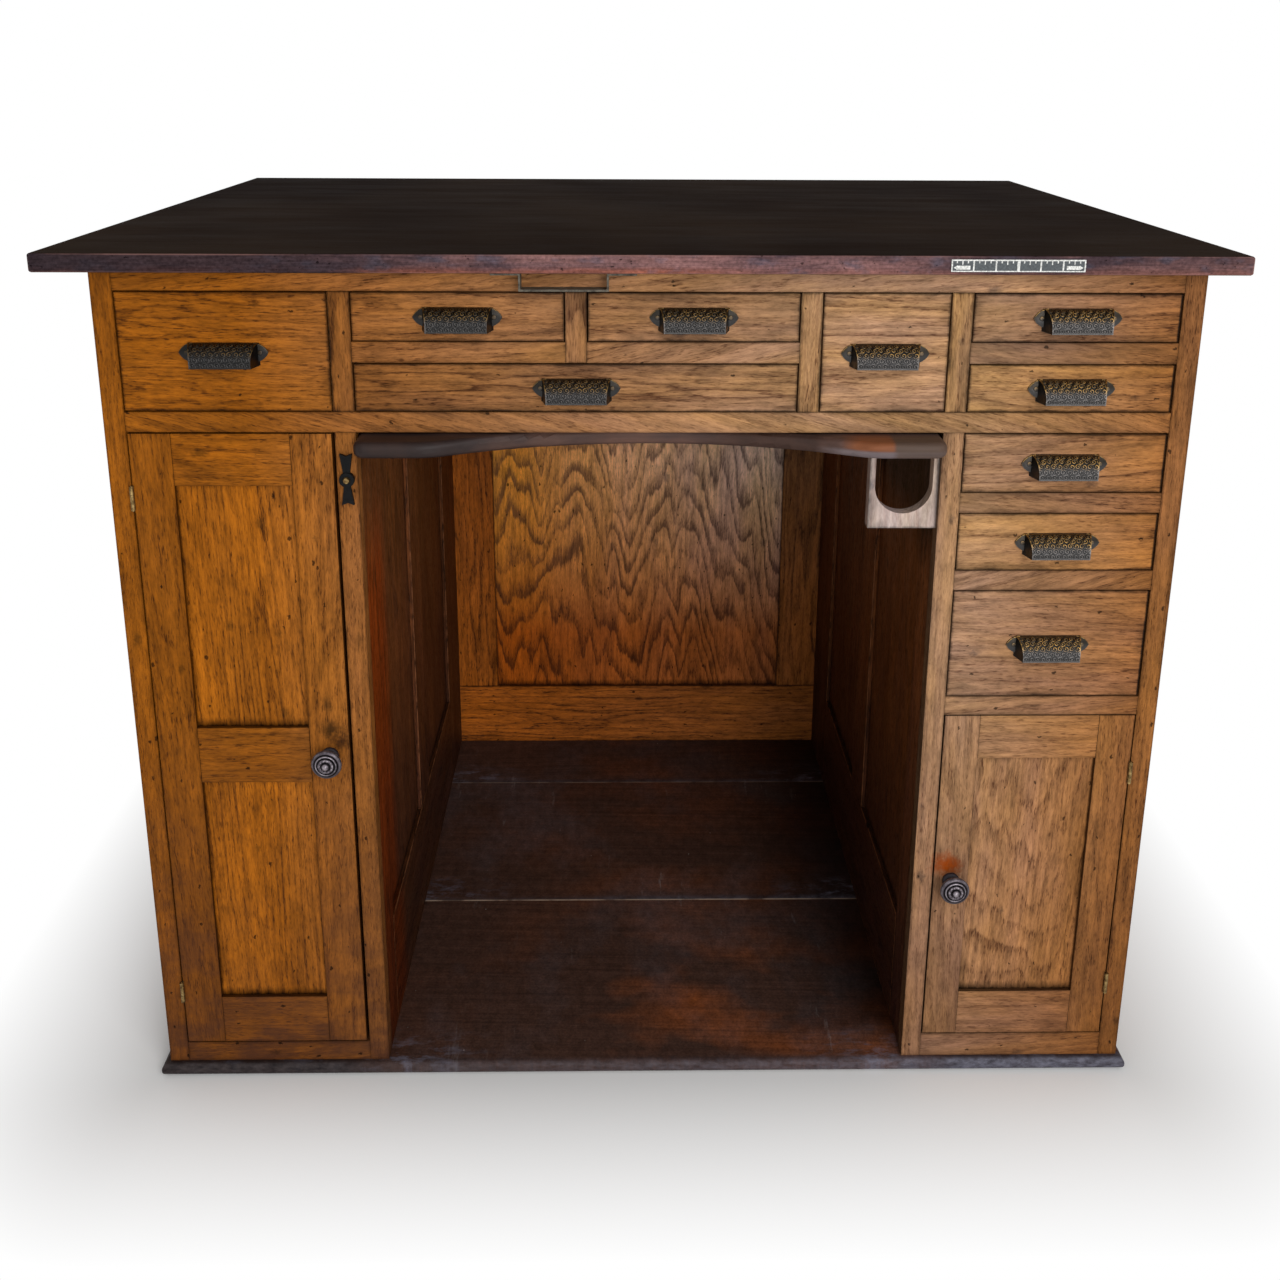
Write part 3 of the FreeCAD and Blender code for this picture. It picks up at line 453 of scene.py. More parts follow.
    roughness = g.math("ADD", g.ramp(flecks, 0, 1, 0.42, 0.62), g.ramp(cloud, 0.3, 0.7, -0.06, 0.08))
    height = g.math("ADD", g.times(flecks, -0.6), g.times(dent, -1.6))
    height = g.line(fibre, 0.4, height)
    return g.finish(colour, roughness, height, 0.00025, Specular_IOR_Level=gloss)


def top_wood(name):
    """Near-black satin top, worn red-brown and grey along its front edge."""
    g = Material(name)
    board = Board(g)
    x, _, z = g.split(g.place())
    fibre = board.noise(5, 260, detail=3)
    # Broad lighter patches on the surface: painted sheen
    haze = g.noise(board.grain, (2.6, 1.1, 1))
    surface = g.mix(g.ramp(haze, 0.36, 0.66), (25, 15, 10), (44, 32, 23))
    surface = g.shade(surface, fibre, 0.3, 0.7, 0.85, 1.15)

    patch = g.noise(board.grain, (5, 20, 30), detail=5, roughness=0.6)
    worn = g.mix(g.ramp(patch, 0.4, 0.6), (80, 63, 68), (126, 92, 90))
    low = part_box("top_board")[0]
    under = g.ramp(z, low.z + 0.002, low.z + 0.009, 0.8, 0)
    under = g.times(under, g.ramp(x, 0.0, 0.12, 1, 0.3))
    worn = g.mix(g.times(under, g.ramp(patch, 0.38, 0.54)), worn, (150, 84, 62))
    cold = g.ramp(g.noise(board.grain, (24, 40, 60), detail=3), 0.54, 0.66, 0, 0.6)
    worn = g.mix(cold, worn, (86, 84, 98))
    worn = g.shade(worn, x, 0.2, 0.4, 1, 0.72)
    worn = g.mix(g.ramp(x, -0.45, -0.12, 0.9, 0), worn, (46, 38, 42))
    streak = g.noise(board.grain, (18, 300, 420), **RAGGED)
    worn = g.shade(worn, streak, 0.3, 0.7, 0.65, 1.25)
    worn = g.shade(worn, g.spots(260, 260, 330, detail=3), 0.3, 0.7, 0.72, 1.28)
    chip = g.ramp(g.spots(150, 90, 230, detail=3), 0.66, 0.72)
    worn = g.shade(worn, chip, 0, 1, 1, 0.3)
    # A lighter line along the top's front edge: wear, and a painted highlight
    arris = g.times(g.fall(board.edge(), 0.0006, 0.0022), g.ramp(patch, 0.42, 0.56))
    worn = g.mix(g.times(arris, 0.6), worn, (160, 118, 108))
    colour = g.mix(g.fall(board.front(), 0.0008, 0.0024), surface, worn)
    height = g.line(chip, -1.0, g.times(fibre, 0.2))
    return g.finish(colour, g.ramp(patch, 0.3, 0.7, 0.38, 0.5), height, Specular_IOR_Level=0.0003)


def floor_wood(name):
    """Dark stained base boards: scuffed, rubbed through in places and dusty along their joints."""
    g = Material(name)
    board = Board(g)
    x, y, _ = g.split(g.place())
    fibre = board.noise(3, 170, **RAGGED)
    rubbed = g.spots(3.4, 5.5, 1, detail=4, roughness=0.55)
    bare = g.times(g.ramp(rubbed, 0.44, 0.66), g.ramp(y, -0.36, -0.12, 0.9, 0.3))
    bare = g.times(bare, g.ramp(x, -0.26, -0.06, 0.1, 1))
    bare = g.times(bare, g.ramp(board.front(), 0.006, 0.03, 0.1, 1))
    colour = g.mix(bare, (70, 49, 41), (142, 76, 36))
    colour = g.shade(colour, fibre, 0.28, 0.72, 0.72, 1.26)
    haze = g.spots(4.5, 3.2, 1, detail=5, roughness=0.62)
    colour = g.mix(g.ramp(haze, 0.48, 0.72, 0, 0.5), colour, (84, 78, 82))
    drag = g.spots(44, 6, 1, detail=6, roughness=0.7)
    drag = g.times(g.ramp(drag, 0.62, 0.8), g.ramp(haze, 0.44, 0.58))
    colour = g.mix(g.times(drag, 0.6), colour, (160, 152, 150))
    dust = g.spots(260, 260, 1, detail=3, roughness=0.7)
    colour = g.shade(colour, dust, 0.3, 0.7, 0.72, 1.28)
    far_off, lot = g.cells(g.place(), (24, 24, 1))
    speck = g.fall(g.line(lot, -0.6, far_off), -0.583, -0.57)
    colour = g.mix(g.times(speck, 0.7), colour, (190, 180, 172))
    grit = g.spots(70, 44, 1, detail=5, roughness=0.75)
    colour = g.shade(colour, grit, 0.3, 0.7, 0.66, 1.36)
    # Darker towards the right of the kneehole floor: painted shadow of the right pedestal
    dim = g.line(rubbed, 0.2, g.math("ADD", x, -0.1))
    dim = g.math("MAXIMUM", g.ramp(dim, 0.17, 0.33, 1, 0.3), g.fall(y, -0.42, -0.36))
    colour = g.scale(colour, dim)
    joint = g.minus(g.split(board.half)[1], g.math("ABSOLUTE", board.across))
    dust = g.times(g.fall(joint, 0.0006, 0.0024), g.ramp(y, -0.05, 0.2, 0.95, 0.3))
    dust = g.times(dust, g.ramp(g.spots(26, 5, 1, detail=3), 0.36, 0.52, 0.2, 1))
    dust = g.times(dust, g.math("GREATER_THAN", y, -0.4))
    colour = g.mix(dust, colour, (206, 180, 156))
    aside = g.math("ABSOLUTE", x)
    corner = g.times(g.fall(board.front(), 0.01, 0.075), g.ramp(aside, 0.2, 0.33))
    smear = g.ramp(g.spots(24, 60, 1, detail=5, roughness=0.7), 0.5, 0.68, 0, 0.75)
    colour = g.mix(g.times(corner, smear), colour, (128, 128, 146))
    ends = g.ramp(aside, 0.34, 0.42)
    nose = g.fall(board.front(), 0.003, g.ramp(ends, 0, 1, 0.014, 0.008))
    nose = g.times(nose, g.math("MAXIMUM", ends, g.ramp(haze, 0.38, 0.6, 0.1, 0.8)))
    colour = g.shade(colour, ends, 0, 1, 1, 0.3)
    nose = g.math("MAXIMUM", nose, g.ramp(board.front(), 0.002, 0.012, 0.55, 0))
    slate = g.ramp(g.spots(60, 60, 150, detail=5, roughness=0.7), 0.36, 0.66)
    right = g.ramp(x, -0.45, 0.45)
    pale = g.mix(right, (70, 63, 63), (114, 114, 128))
    deep = g.mix(right, (32, 28, 30), (58, 56, 64))
    colour = g.mix(g.times(nose, 0.85), colour, g.mix(slate, deep, pale))
    height = g.line(rubbed, 0.5, g.times(fibre, 0.5))
    return g.finish(colour, g.ramp(haze, 0.3, 0.7, 0.45, 0.62), height, Specular_IOR_Level=0.08)


def apron_wood(name):
    """Dark slide, rubbed grey along its rounded front and to bare wood near its right end."""
    g = Material(name)
    board = Board(g)
    x, y, z = g.split(g.place())
    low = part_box("apron_board")[0]
    fibre = board.noise(6, 150, **RAGGED)
    cloud = g.spots(9, 14, 14, detail=4, roughness=0.55)
    colour = g.mix(g.ramp(cloud, 0.36, 0.66), (62, 49, 47), (98, 72, 62))
    colour = g.shade(colour, x, -0.3, 0.0, 0.42, 1)
    ragged = g.line(cloud, 0.05, g.minus(x, 0.025))
    dull = g.math("MAXIMUM", g.ramp(ragged, 0.04, 0.12, 1, 0.42), g.ramp(ragged, 0.2, 0.225, 0.42, 1))
    colour = g.scale(colour, dull)
    upper = g.ramp(z, low.z + 0.008, low.z + 0.011)
    at_front = g.fall(y, low.y + 0.02, low.y + 0.05)
    bare = g.times(g.ramp(ragged, 0.226, 0.246), g.fall(x, 0.282, 0.288))
    bare = g.times(bare, at_front)
    colour = g.mix(g.times(bare, g.times(upper, 0.6)), colour, (142, 80, 38))
    end = g.times(at_front, g.ramp(x, 0.284, 0.288, 0, 0.85))
    colour = g.mix(end, colour, (80, 64, 54))
    pale = g.times(g.ramp(ragged, 0.2, 0.23), g.ramp(upper, 0, 1, 0.7, 0))
    pale = g.times(pale, g.ramp(x, 0.282, 0.29, 1, 0.25))
    colour = g.mix(g.times(pale, at_front), colour, (112, 102, 105))
    colour = g.shade(colour, fibre, 0.28, 0.72, 0.8, 1.2)
    height = g.line(cloud, 0.4, g.times(fibre, 0.3))
    return g.finish(colour, g.ramp(cloud, 0.3, 0.7, 0.42, 0.6), height, Specular_IOR_Level=0.15)


def casting(name, colours, lip_colours=None, lip=(0, 1), span=None):
    """Bronzed casting. The mesh's relief runs from 0 in the hollows to 1 on the rubbed ridges.
    colours are those of hollows, body and ridges. The lip's own, grey with a painted reflection, take over
    between its two levels.
    span has two places across the desk and how bright castings are at each."""
    g = Material(name)
    relief = g.attribute("relief", "Fac")
    wear = g.spots(150, 150, 150, **RAGGED)
    rub = g.times(g.ramp(relief, 0.6, 0.95), g.ramp(wear, 0.4, 0.6, 0.15, 1))
    hollow, body, rubbed = colours
    if lip_colours:
        level = g.ramp(g.split(g.place())[2], *lip)
        hollow, body, rubbed = (g.mix(level, *pair) for pair in zip(colours, lip_colours))
    colour = g.mix(g.ramp(relief, 0.08, 0.55), hollow, body)
    colour = g.mix(rub, colour, rubbed)
    if span:
        across = g.split(g.add("ObjectInfo").outputs["Location"])[0]
        colour = g.shade(colour, across, *span)
    grain = g.spots(1400, 1400, 1400)
    return g.finish(colour, g.ramp(wear, 0.3, 0.7, 0.3, 0.52), grain, 0.00004, Metallic=0.7)


def plain_metal(name, light, dark, metallic, gloss, rough):
    """A metal that is tarnished or japanned, with small blotches and a fine grain."""
    g = Material(name)
    blotch = g.spots(170, 170, 170, detail=4, roughness=0.6)
    grain = g.spots(1500, 1500, 1500)
    colour = g.mix(g.ramp(blotch, 0.35, 0.65), dark, light)
    roughness = g.ramp(blotch, 0.3, 0.7, gloss, rough)
    return g.finish(colour, roughness, grain, 0.00003, Metallic=metallic, Specular_IOR_Level=0.1)


def enamel(name, light, dark):
    """Printed enamel, a little stained and worn."""
    g = Material(name)
    stain = g.spots(420, 420, 420, **RAGGED)
    colour = g.mix(g.ramp(stain, 0.38, 0.66), light, dark)
    return g.finish(colour, g.ramp(stain, 0.3, 0.7, 0.35, 0.6), stain, 0.00004)


def make_materials():
    made = {}

    def keep(maker, name, *colours, **rest):
        made[name] = maker(name, *colours, **rest)

    left_knob, right_knob = (knob_seat(f"{side}_door_knob") for side in ("left", "right"))
    keep(
        wood, "oak", (150, 86, 19), (78, 40, 9),
        # Paler and greyer towards the upper right: bleached wood, with painted light and sheen
        far=((174, 133, 98), (92, 60, 42), (-0.48, 0.2), (0.1, 0.6, 0.75)),
        # Darker near the floor: painted shade and dirt
        soil=0.75,
        # The right drawers' ends beside the gap get painted shade
        gap=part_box("right_drawer_1_front")[1].x,
        stains=(
            (left_knob + Vector((0.002, 0, 0.036)), 0.018, (52, 32, 10)),
            (left_knob + Vector((0.014, 0, 0.018)), 0.018, (46, 26, 14)),
            # A painted shadow by the right knob's neck; the others are real marks
            (right_knob + Vector((0.0, 0, 0.022)), 0.02, (70, 34, 12)),
            (right_knob + Vector((-0.009, 0, 0.024)), 0.023, (148, 62, 3)),
        ),
    )
    keep(
        wood, "back_oak", (194, 106, 34), (104, 56, 26),
        # Paler and greyer towards the upper right and higher up: painted reflection; darker and more
        # orange lower down
        far=((192, 146, 120), (98, 70, 60), (-0.22, 0.26), (0.25, 0.8, 0.35)),
        fall=(0.25, 0.6, (0.68, 0.57, 0.45, 1), (1.43, 2.1, 3.0, 1)),
    )
    keep(
        wood, "back_frame", (166, 90, 30), (74, 38, 16),
        # Darker towards the upper right: painted shadow of the right pedestal
        far=((118, 86, 60), (56, 38, 28), (-0.22, 0.26), (0.25, 0.8, 0.35)),
    )
    keep(
        wood, "dark_oak", (118, 58, 24), (54, 26, 12),
        fall=(0.1, 0.7, (0.3, 0.46, 1.2, 1), (1.08, 1.45, 2.0, 1)),
        tints=(
            # A pool of painted orange light, low at the front of the left knee wall
            ((1.7, 0.92, 0.4, 1), (-0.2, 0.0), (-0.32, -0.27), (0.68, 0.8)),
            # Painted shadow high on the right knee wall, under the slide and behind the tool board
            ((0.2, 0.25, 0.35, 1), (0.25, 0.2), (0.2, 0.35), (0.77, 0.7)),
        ),
        # Lighter edges: wear and a painted highlight
        worn=(150, 96, 62),
    )
    keep(wood, "drawer_wood", (196, 156, 108), (150, 106, 64), pore=0.25, gloss=0.5)
    keep(wood, "pale_wood", (180, 160, 158), (134, 104, 98), pore=0.2, gloss=0.5)
    keep(top_wood, "dark_top")
    keep(floor_wood, "dark_base")
    keep(apron_wood, "apron")
    keep(
        casting, "cast_pull",
        ((9, 8, 6), (40, 34, 26), (196, 152, 80)),
        # The lip: grey, a painted reflection
        ((34, 33, 33), (62, 60, 59), (116, 111, 108)),
        (0.003, -0.004),
        (-0.45, 0.45, 0.29, 1),
    )
    keep(casting, "cast_knob", ((12, 10, 11), (60, 53, 59), (158, 150, 156)))
    keep(plain_metal, "black_iron", (16, 16, 17), (7, 7, 8), 0.0, 0.4, 0.6)
    keep(plain_metal, "worn_iron", (104, 97, 86), (54, 49, 43), 0.0, 0.4, 0.6)
    keep(plain_metal, "brass", (164, 138, 90), (86, 64, 36), 0.9, 0.28, 0.5)
    keep(enamel, "ruler_enamel", (58, 66, 70), (34, 38, 42))
    keep(enamel, "ruler_white", (236, 236, 232), (150, 150, 146))
    return made


# Boards of the frame


def solids_of(mesh, spots):
    """Faces of each closed solid, in the mesh's own order: a solid ends where no edge is left open."""
    keys = [tuple(key) for key in np.round(spots / WELD).astype(int)]
    solids = []
    current = []
    unmatched = set()
    for face in mesh.polygons:
        corners = [keys[index] for index in face.vertices]
        for start, end in zip(corners, corners[1:] + corners[:1]):
            if (end, start) in unmatched:
                unmatched.remove((end, start))
            else:
                unmatched.add((start, end))
        current.append(face)
        if not unmatched:
            solids.append(current)
            current = []
    return solids


# Board looks. Edges darken with dirt and painted shade, and narrow side faces with painted shade
PLAIN_FIGURE = dict(
    wander=0.006, rings=140, strength=(0.5, 0.9), depth=(0.02, 0.09), tilt=(-0.06, 0.06), slant=0.04,
    tone=(0.3, 0.7), hue=(0.2, 0.8), waves=1.0, grime=0.72, inset=0.0, sides=0.0,
)
FIGURES = {
    "left_drawer_front": dict(wander=0.012, rings=120, waves=2.0, strength=(0.6, 0.7), tilt=(0.03, 0.05)),
    "right_drawer_5_front": dict(wander=0.012, rings=110, waves=1.6, strength=(0.6, 0.7)),
    "wide_drawer_front": dict(wander=0.014, rings=110, waves=2.0, strength=(0.7, 0.8), tilt=(0.03, 0.05)),
    "face_rails": dict(grime=0.33, slant=0.3, strength=(0.2, 0.5)),
    "face_stiles": dict(grime=0.33, strength=(0.15, 0.4), sides=(0.0, 0.0, 0.0, 0.9)),
    "left_door_frame": dict(grime=0.16, strength=(0.2, 0.5), sides=1.0),
    "right_door_frame": dict(grime=0.16, strength=(0.2, 0.4), sides=1.0),
    "left_door_panels": dict(
        wander=0.005, rings=160, strength=(0.6, 0.75), depth=(0.012, 0.02), tilt=(0.02, 0.035), inset=0.006
    ),
    "right_door_panel": dict(
        wander=0.024, rings=70, strength=(0.55, 0.6), depth=(0.25, 0.3), tilt=(0.24, 0.26), inset=0.006
    ),
    "back_frame": dict(
        wander=0.01, strength=(0.75, 0.85), depth=(0.035, 0.05), tilt=(-0.01, 0.01), slant=0.01, sides=0.6
    ),
    "back_panels": dict(
        wander=0.036, rings=58, waves=1.2, strength=(1.45, 1.55), depth=(0.8, 0.9), tilt=(0.26, 0.28),
        inset=0.006,
    ),
    "side_wall_panels": dict(
        wander=0.02, rings=80, strength=(0.8, 1.0), depth=(0.6, 0.7), tilt=(0.2, 0.25), inset=0.006
    ),
    "knee_wall_panels": dict(wander=0.008, depth=(0.1, 0.2), tilt=(0.05, 0.12), inset=0.006),
}
OWN_FINISH = {
    "apron_board": "apron",
    "back_frame": "back_frame",
    "back_panels": "back_oak",
    "bench_pin_strap": "worn_iron",
}
# Tone, dark to light, and hue, yellow to purple brown, of the boards of a node in turn
SHADES = {
    "left_drawer_front": [(0.42, 0.15)],
    "upper_left_drawer_front": [(0.3, 0.5)],
    "upper_right_drawer_front": [(0.12, 0.65)],
    "wide_drawer_front": [(0.08, 0.55)],
    "narrow_drawer_front": [(0.62, 0.55)],
    "right_drawer_1_front": [(0.4, 0.75)],
    "right_drawer_2_front": [(0.42, 0.05)],
    "right_drawer_3_front": [(0.5, 0.65)],
    "right_drawer_4_front": [(0.55, 0.1)],
    "right_drawer_5_front": [(0.45, 0.9)],
    "face_rails": [
        (0.65, 0.7), (0.42, 0.5), (0.5, 0.4), (0.5, 0.6), (0.0, 0.85),
        (0.0, 0.8), (0.16, 0.75), (0.2, 0.8), (0.3, 0.5), (0.4, 1.0),
    ],
    "face_muntins": [(0.0, 0.4), (0.6, 0.1), (0.42, 0.0), (0.4, 0.5)],
    "face_stiles": [(0.4, 0.4), (0.08, 0.45), (0.35, 0.6), (0.5, 0.8)],
    "left_door_panels": [(0.9, 0.05), (0.74, 0.0)],
    "left_door_frame": [(0.05, 0.35), (0.55, 0.05), (0.35, 0.5), (0.45, 0.6), (0.3, 0.1)],
    "right_door_frame": [(0.35, 0.9), (0.15, 0.5), (0.4, 0.9), (0.7, 0.35)],
}


def dress_boards(name):
    """Writes on each board of a node where the grain runs, how far each corner is from its middle,
    and lots of its own, so that no two boards look alike."""
    mesh = nodes[name].data
    figure = PLAIN_FIGURE | FIGURES.get(name, {})
    flat = np.empty(len(mesh.vertices) * 3)
    mesh.vertices.foreach_get("co", flat)
    spots = flat.reshape(-1, 3)
    keys = ("grain", "place", "half", "log", "figure", "pith", "shade", "edges")
    values = {key: np.zeros((len(mesh.loops), 3)) for key in keys}
    apart = np.zeros_like(spots)
    for number, solid in enumerate(solids_of(mesh, spots)):
        lot = random.Random(f"{name} {number}")
        loops = np.concatenate([np.arange(f.loop_start, f.loop_start + f.loop_total) for f in solid])
        points = np.array([mesh.loops[i].vertex_index for i in loops])
        low, high = spots[points].min(0), spots[points].max(0)
        order = np.argsort(low - high)
        local = (spots[points] - (low + high) / 2)[:, order]
        half = ((high - low) / 2)[order]
        slant = lot.uniform(-1, 1) * figure["slant"]
        turned = local.copy()
        turned[:, 0] += slant * local[:, 1]
        turned[:, 1] -= slant * local[:, 0]
        pith_across = lot.uniform(-0.5, 0.5) * half[1]
        pith_depth = lot.choice((-1, 1)) * lot.uniform(*figure["depth"])
        tone, hue = lot.uniform(*figure["tone"]), lot.uniform(*figure["hue"])
        if name in SHADES:
            tone, hue = SHADES[name][number]
        # How much painted shade darkens the narrow side faces
        sides = figure["sides"]
        if isinstance(sides, tuple):
            sides = sides[number]
        narrow = np.concatenate([[abs(f.normal[order[2]]) < 0.5] * f.loop_total for f in solid])
        values["place"][loops] = local
        values["half"][loops] = half
        values["log"][loops] = turned
        values["grain"][loops] = turned + [lot.uniform(0, 50) for _ in range(3)]
        values["figure"][loops] = (figure["wander"], figure["rings"], lot.uniform(*figure["strength"]))
        values["pith"][loops] = (pith_across, pith_depth, lot.uniform(*figure["tilt"]))
        values["shade"][loops] = (tone, hue, figure["waves"])
        values["edges"][loops, :2] = (figure["inset"], figure["grime"])
        values["edges"][loops, 2] = narrow * sides
        apart[points] = (number * BOARD_SPREAD, 0, 0)
    for key, value in (values | {"apart": apart}).items():
        layer = mesh.attributes.new(key, "FLOAT_VECTOR", "CORNER" if key in keys else "POINT")
        layer.data.foreach_set("vector", value.astype(np.float32).ravel())


def joining_group():
    """Joins the faces of each board at their shared edges, and keeps boards that touch apart."""
    group = bpy.data.node_groups.new("join_faces", "GeometryNodeTree")
    for way in ("INPUT", "OUTPUT"):
        group.interface.new_socket("Geometry", in_out=way, socket_type="NodeSocketGeometry")
    g = Graph(group)
    shape = "GeometryNode"
    source = g.add("GroupInput", family="Node").outputs[0]
    named = g.add("InputNamedAttribute", {"Name": "apart"}, shape, data_type="FLOAT_VECTOR")
    apart = named.outputs["Attribute"]
    spread = g.add("SetPosition", {"Geometry": source, "Offset": apart}, shape).outputs[0]
    weld = g.add("MergeByDistance", {"Geometry": spread, "Distance": WELD}, shape).outputs[0]
    gather = g.add("SetPosition", {"Geometry": weld, "Offset": g.scale(apart, -1)}, shape).outputs[0]
    g.add("GroupOutput", {0: gather}, "Node")
    return group


def soften(piece, group, width):
    """Joined faces, small rounded edges and even shading."""
    for key in ("custom_normal", "sharp_face", "sharp_edge"):
        if key in piece.data.attributes:
            piece.data.attributes.remove(piece.data.attributes[key])
    joined = piece.modifiers.new("joined", "NODES")
    joined.node_group = group
    bevel = piece.modifiers.new("bevel", "BEVEL")
    bevel.width = width
    bevel.segments = 2
    bevel.limit_method = "ANGLE"
    bevel.angle_limit = math.radians(BEVEL_ANGLE)
    piece.modifiers.new("even", "WEIGHTED_NORMAL")


def dress_frame(materials):
    group = joining_group()
    for name, node in nodes.items():
        slot = node.data.materials[0].name.split(".")[0]
        material = materials[OWN_FINISH.get(name, slot)]
        node.data.materials.clear()
        node.data.materials.append(material)
        dress_boards(name)
        soften(node, group, BEVELS.get(slot, SMALL_BEVEL))


# Fittings


def new_piece(name, mesh, body, place=(0, 0, 0), replaced=None):
    """A piece of the looks that rides on a body, in place of a node if one is named."""
    piece = new_object(name, mesh)
    piece.location = place
    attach(piece, body)
    if replaced:
        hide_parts(replaced)


def bridge(shape, first, second):
    """Faces between two closed rows of points."""
    for index in range(len(first)):
        after = (index + 1) % len(first)
        shape.faces.new((first[index], first[after], second[after], second[index]))


def add_prism(shape, outline, near, far):
    """A flat outline of (x, z) points between two depths."""
    fronts = [shape.verts.new((x, near, z)) for x, z in outline]
    backs = [shape.verts.new((x, far, z)) for x, z in outline]
    shape.faces.new(fronts)
    shape.faces.new(backs[::-1])
    bridge(shape, backs, fronts)


def new_mesh(name, shape, material, smooth_angle=None):
    bmesh.ops.recalc_face_normals(shape, faces=shape.faces)
    mesh = bpy.data.meshes.new(name)
    shape.to_mesh(mesh)
    shape.free()
    mesh.materials.append(material)
    if smooth_angle is not None:
        mesh.shade_smooth()
        mesh.set_sharp_from_angle(angle=math.radians(smooth_angle))
    return mesh


def ruler_marks(material):
    """Border, inch lines, quarter ticks and two arrows, raised on the scale plate."""
    low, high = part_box("ruler_plate")
    inch = (high.x - low.x) / INCHES
    left, right = low.x + MARK_BORDER, high.x - MARK_BORDER
    foot, head = low.z + MARK_BORDER * MARK_FOOT, high.z - MARK_BORDER
    shape = bmesh.new()

    def mark(*outline):
        add_prism(shape, outline, low.y - MARK_RELIEF, low.y)

    def bar(x0, x1, z0, z1):
        mark((x0, z0), (x1, z0), (x1, z1), (x0, z1))

    bar(low.x, high.x, head, high.z)
    bar(low.x, high.x, low.z, foot)
    bar(low.x, left, foot, head)
    bar(right, high.x, foot, head)
    for number in range(1, INCHES):
        x = low.x + inch * number
        thick = MIDDLE_LINE if number * 2 == INCHES else INCH_LINE
        bar(x - thick, x + thick, foot, head)
    for quarter in range(INCHES * 4):
        if quarter % 4:
            x = low.x + inch * quarter / 4
            length = HALF_TICK if quarter % 4 == 2 else QUARTER_TICK
            bar(x - TICK_LINE, x + TICK_LINE, head - length, head)
    base = foot + ARROW_GAP
    under, middle, over, top = (base + level for level in ARROW_LEVELS)
    for end, sign in ((left, 1), (right, -1)):
        tip = end + sign * ARROW_TIP
        neck = tip + sign * ARROW_HEAD
        tail = end + sign * (inch - ARROW_TAIL)
        shaft = ((neck, under), (tail, under), (tail, over), (neck, over))
        mark((tip, middle), (neck, base), *shaft, (neck, top))
    new_piece("ruler_marks", new_mesh("ruler_marks", shape, material), "case")


def lathe(profile, steps, rise=None):
    """A turned form about the Y axis from (y, radius) points, both ends on the axis.
    rise(y, radius, angle) moves points towards -Y."""
    verts = []
    rings = []
    for y, radius in profile:
        ring = []
        for step in range(steps if radius > 0 else 1):
            angle = 2 * math.pi * step / steps
            lift = rise(y, radius, angle) if rise else 0
            ring.append(len(verts))
            verts.append((radius * math.cos(angle), y - lift, radius * math.sin(angle)))
        rings.append(ring)
    faces = []
    for first, second in zip(rings, rings[1:]):
        for step in range(steps):
            following = (step + 1) % steps
            corners = [first[step % len(first)], first[following % len(first)]]
            corners += [second[following % len(second)], second[step % len(second)]]
            faces.append(list(dict.fromkeys(corners)))
    return verts, faces


def scrolls(across, down, row, shift):
    """A row of small scrolls, each hand in turn: their height, and how much they cover the ground."""
    number = np.round(across / SCROLL_PITCH - shift)
    hand = np.where(number % 2 == 0, 1.0, -1.0)
    aside = (across - (number + shift) * SCROLL_PITCH) * hand
    below = (down - row) * hand
    reach = np.hypot(aside, below)
    turn = np.arctan2(below, aside) / (2 * np.pi)
    curl = np.cos(2 * np.pi * (reach / SCROLL_WAVE - turn))
    return curl, np.clip((SCROLL_PITCH * 0.56 - reach) / 0.7, 0, 1)


def scroll_relief(across, down, length):
    """Height, -1 to 1, of a cast pattern: rows of scrolls on a stippled ground above a stippled lip, and
    a raised rim. across and down are millimetres, from the hood's middle and from its top."""
    stipple = np.cos(2 * np.pi * across / STIPPLE[0]) * np.cos(2 * np.pi * down / STIPPLE[1])
    height = 0.5 * stipple - 0.3
    for row, shift in SCROLL_ROWS:
        curl, cover = scrolls(across, down, row, shift)
        height = cover * curl + (1 - cover) * height
    start, end = SCROLL_BAND
    band = np.clip((down - start) / 0.8, 0, 1) * np.clip((end - down) / 0.8, 0, 1)
    height = height * band + (0.5 * stipple - 0.2) * (1 - band)
    for line, wide, rise in ((start - 1.2, 0.8, 0.7), (length - 1.0, 1.2, 0.2)):
        height = np.maximum(height, rise - (np.abs(down - line) / wide) ** 2)
    rim = 0.9 - ((HOOD_WIDTH * 500 - np.abs(across)) / 1.3) ** 2
    return np.clip(np.maximum(height, rim), -1, 1)


def hood_profile(radius, lip, steps):
    """(y, z, normal y, normal z, run) down a quarter round from the wall and straight on to the lip."""
    axis = EAR_HEIGHT / 2 - HOOD_RADIUS
    run = np.linspace(0, radius * math.pi / 2 + lip, steps + 1)
    angle = np.minimum(run / radius, math.pi / 2)
    straight = np.maximum(run - radius * math.pi / 2, 0)
    y = -radius * np.sin(angle)
    z = axis + radius * np.cos(angle) - straight
    return y, z, -np.sin(angle), np.cos(angle), run


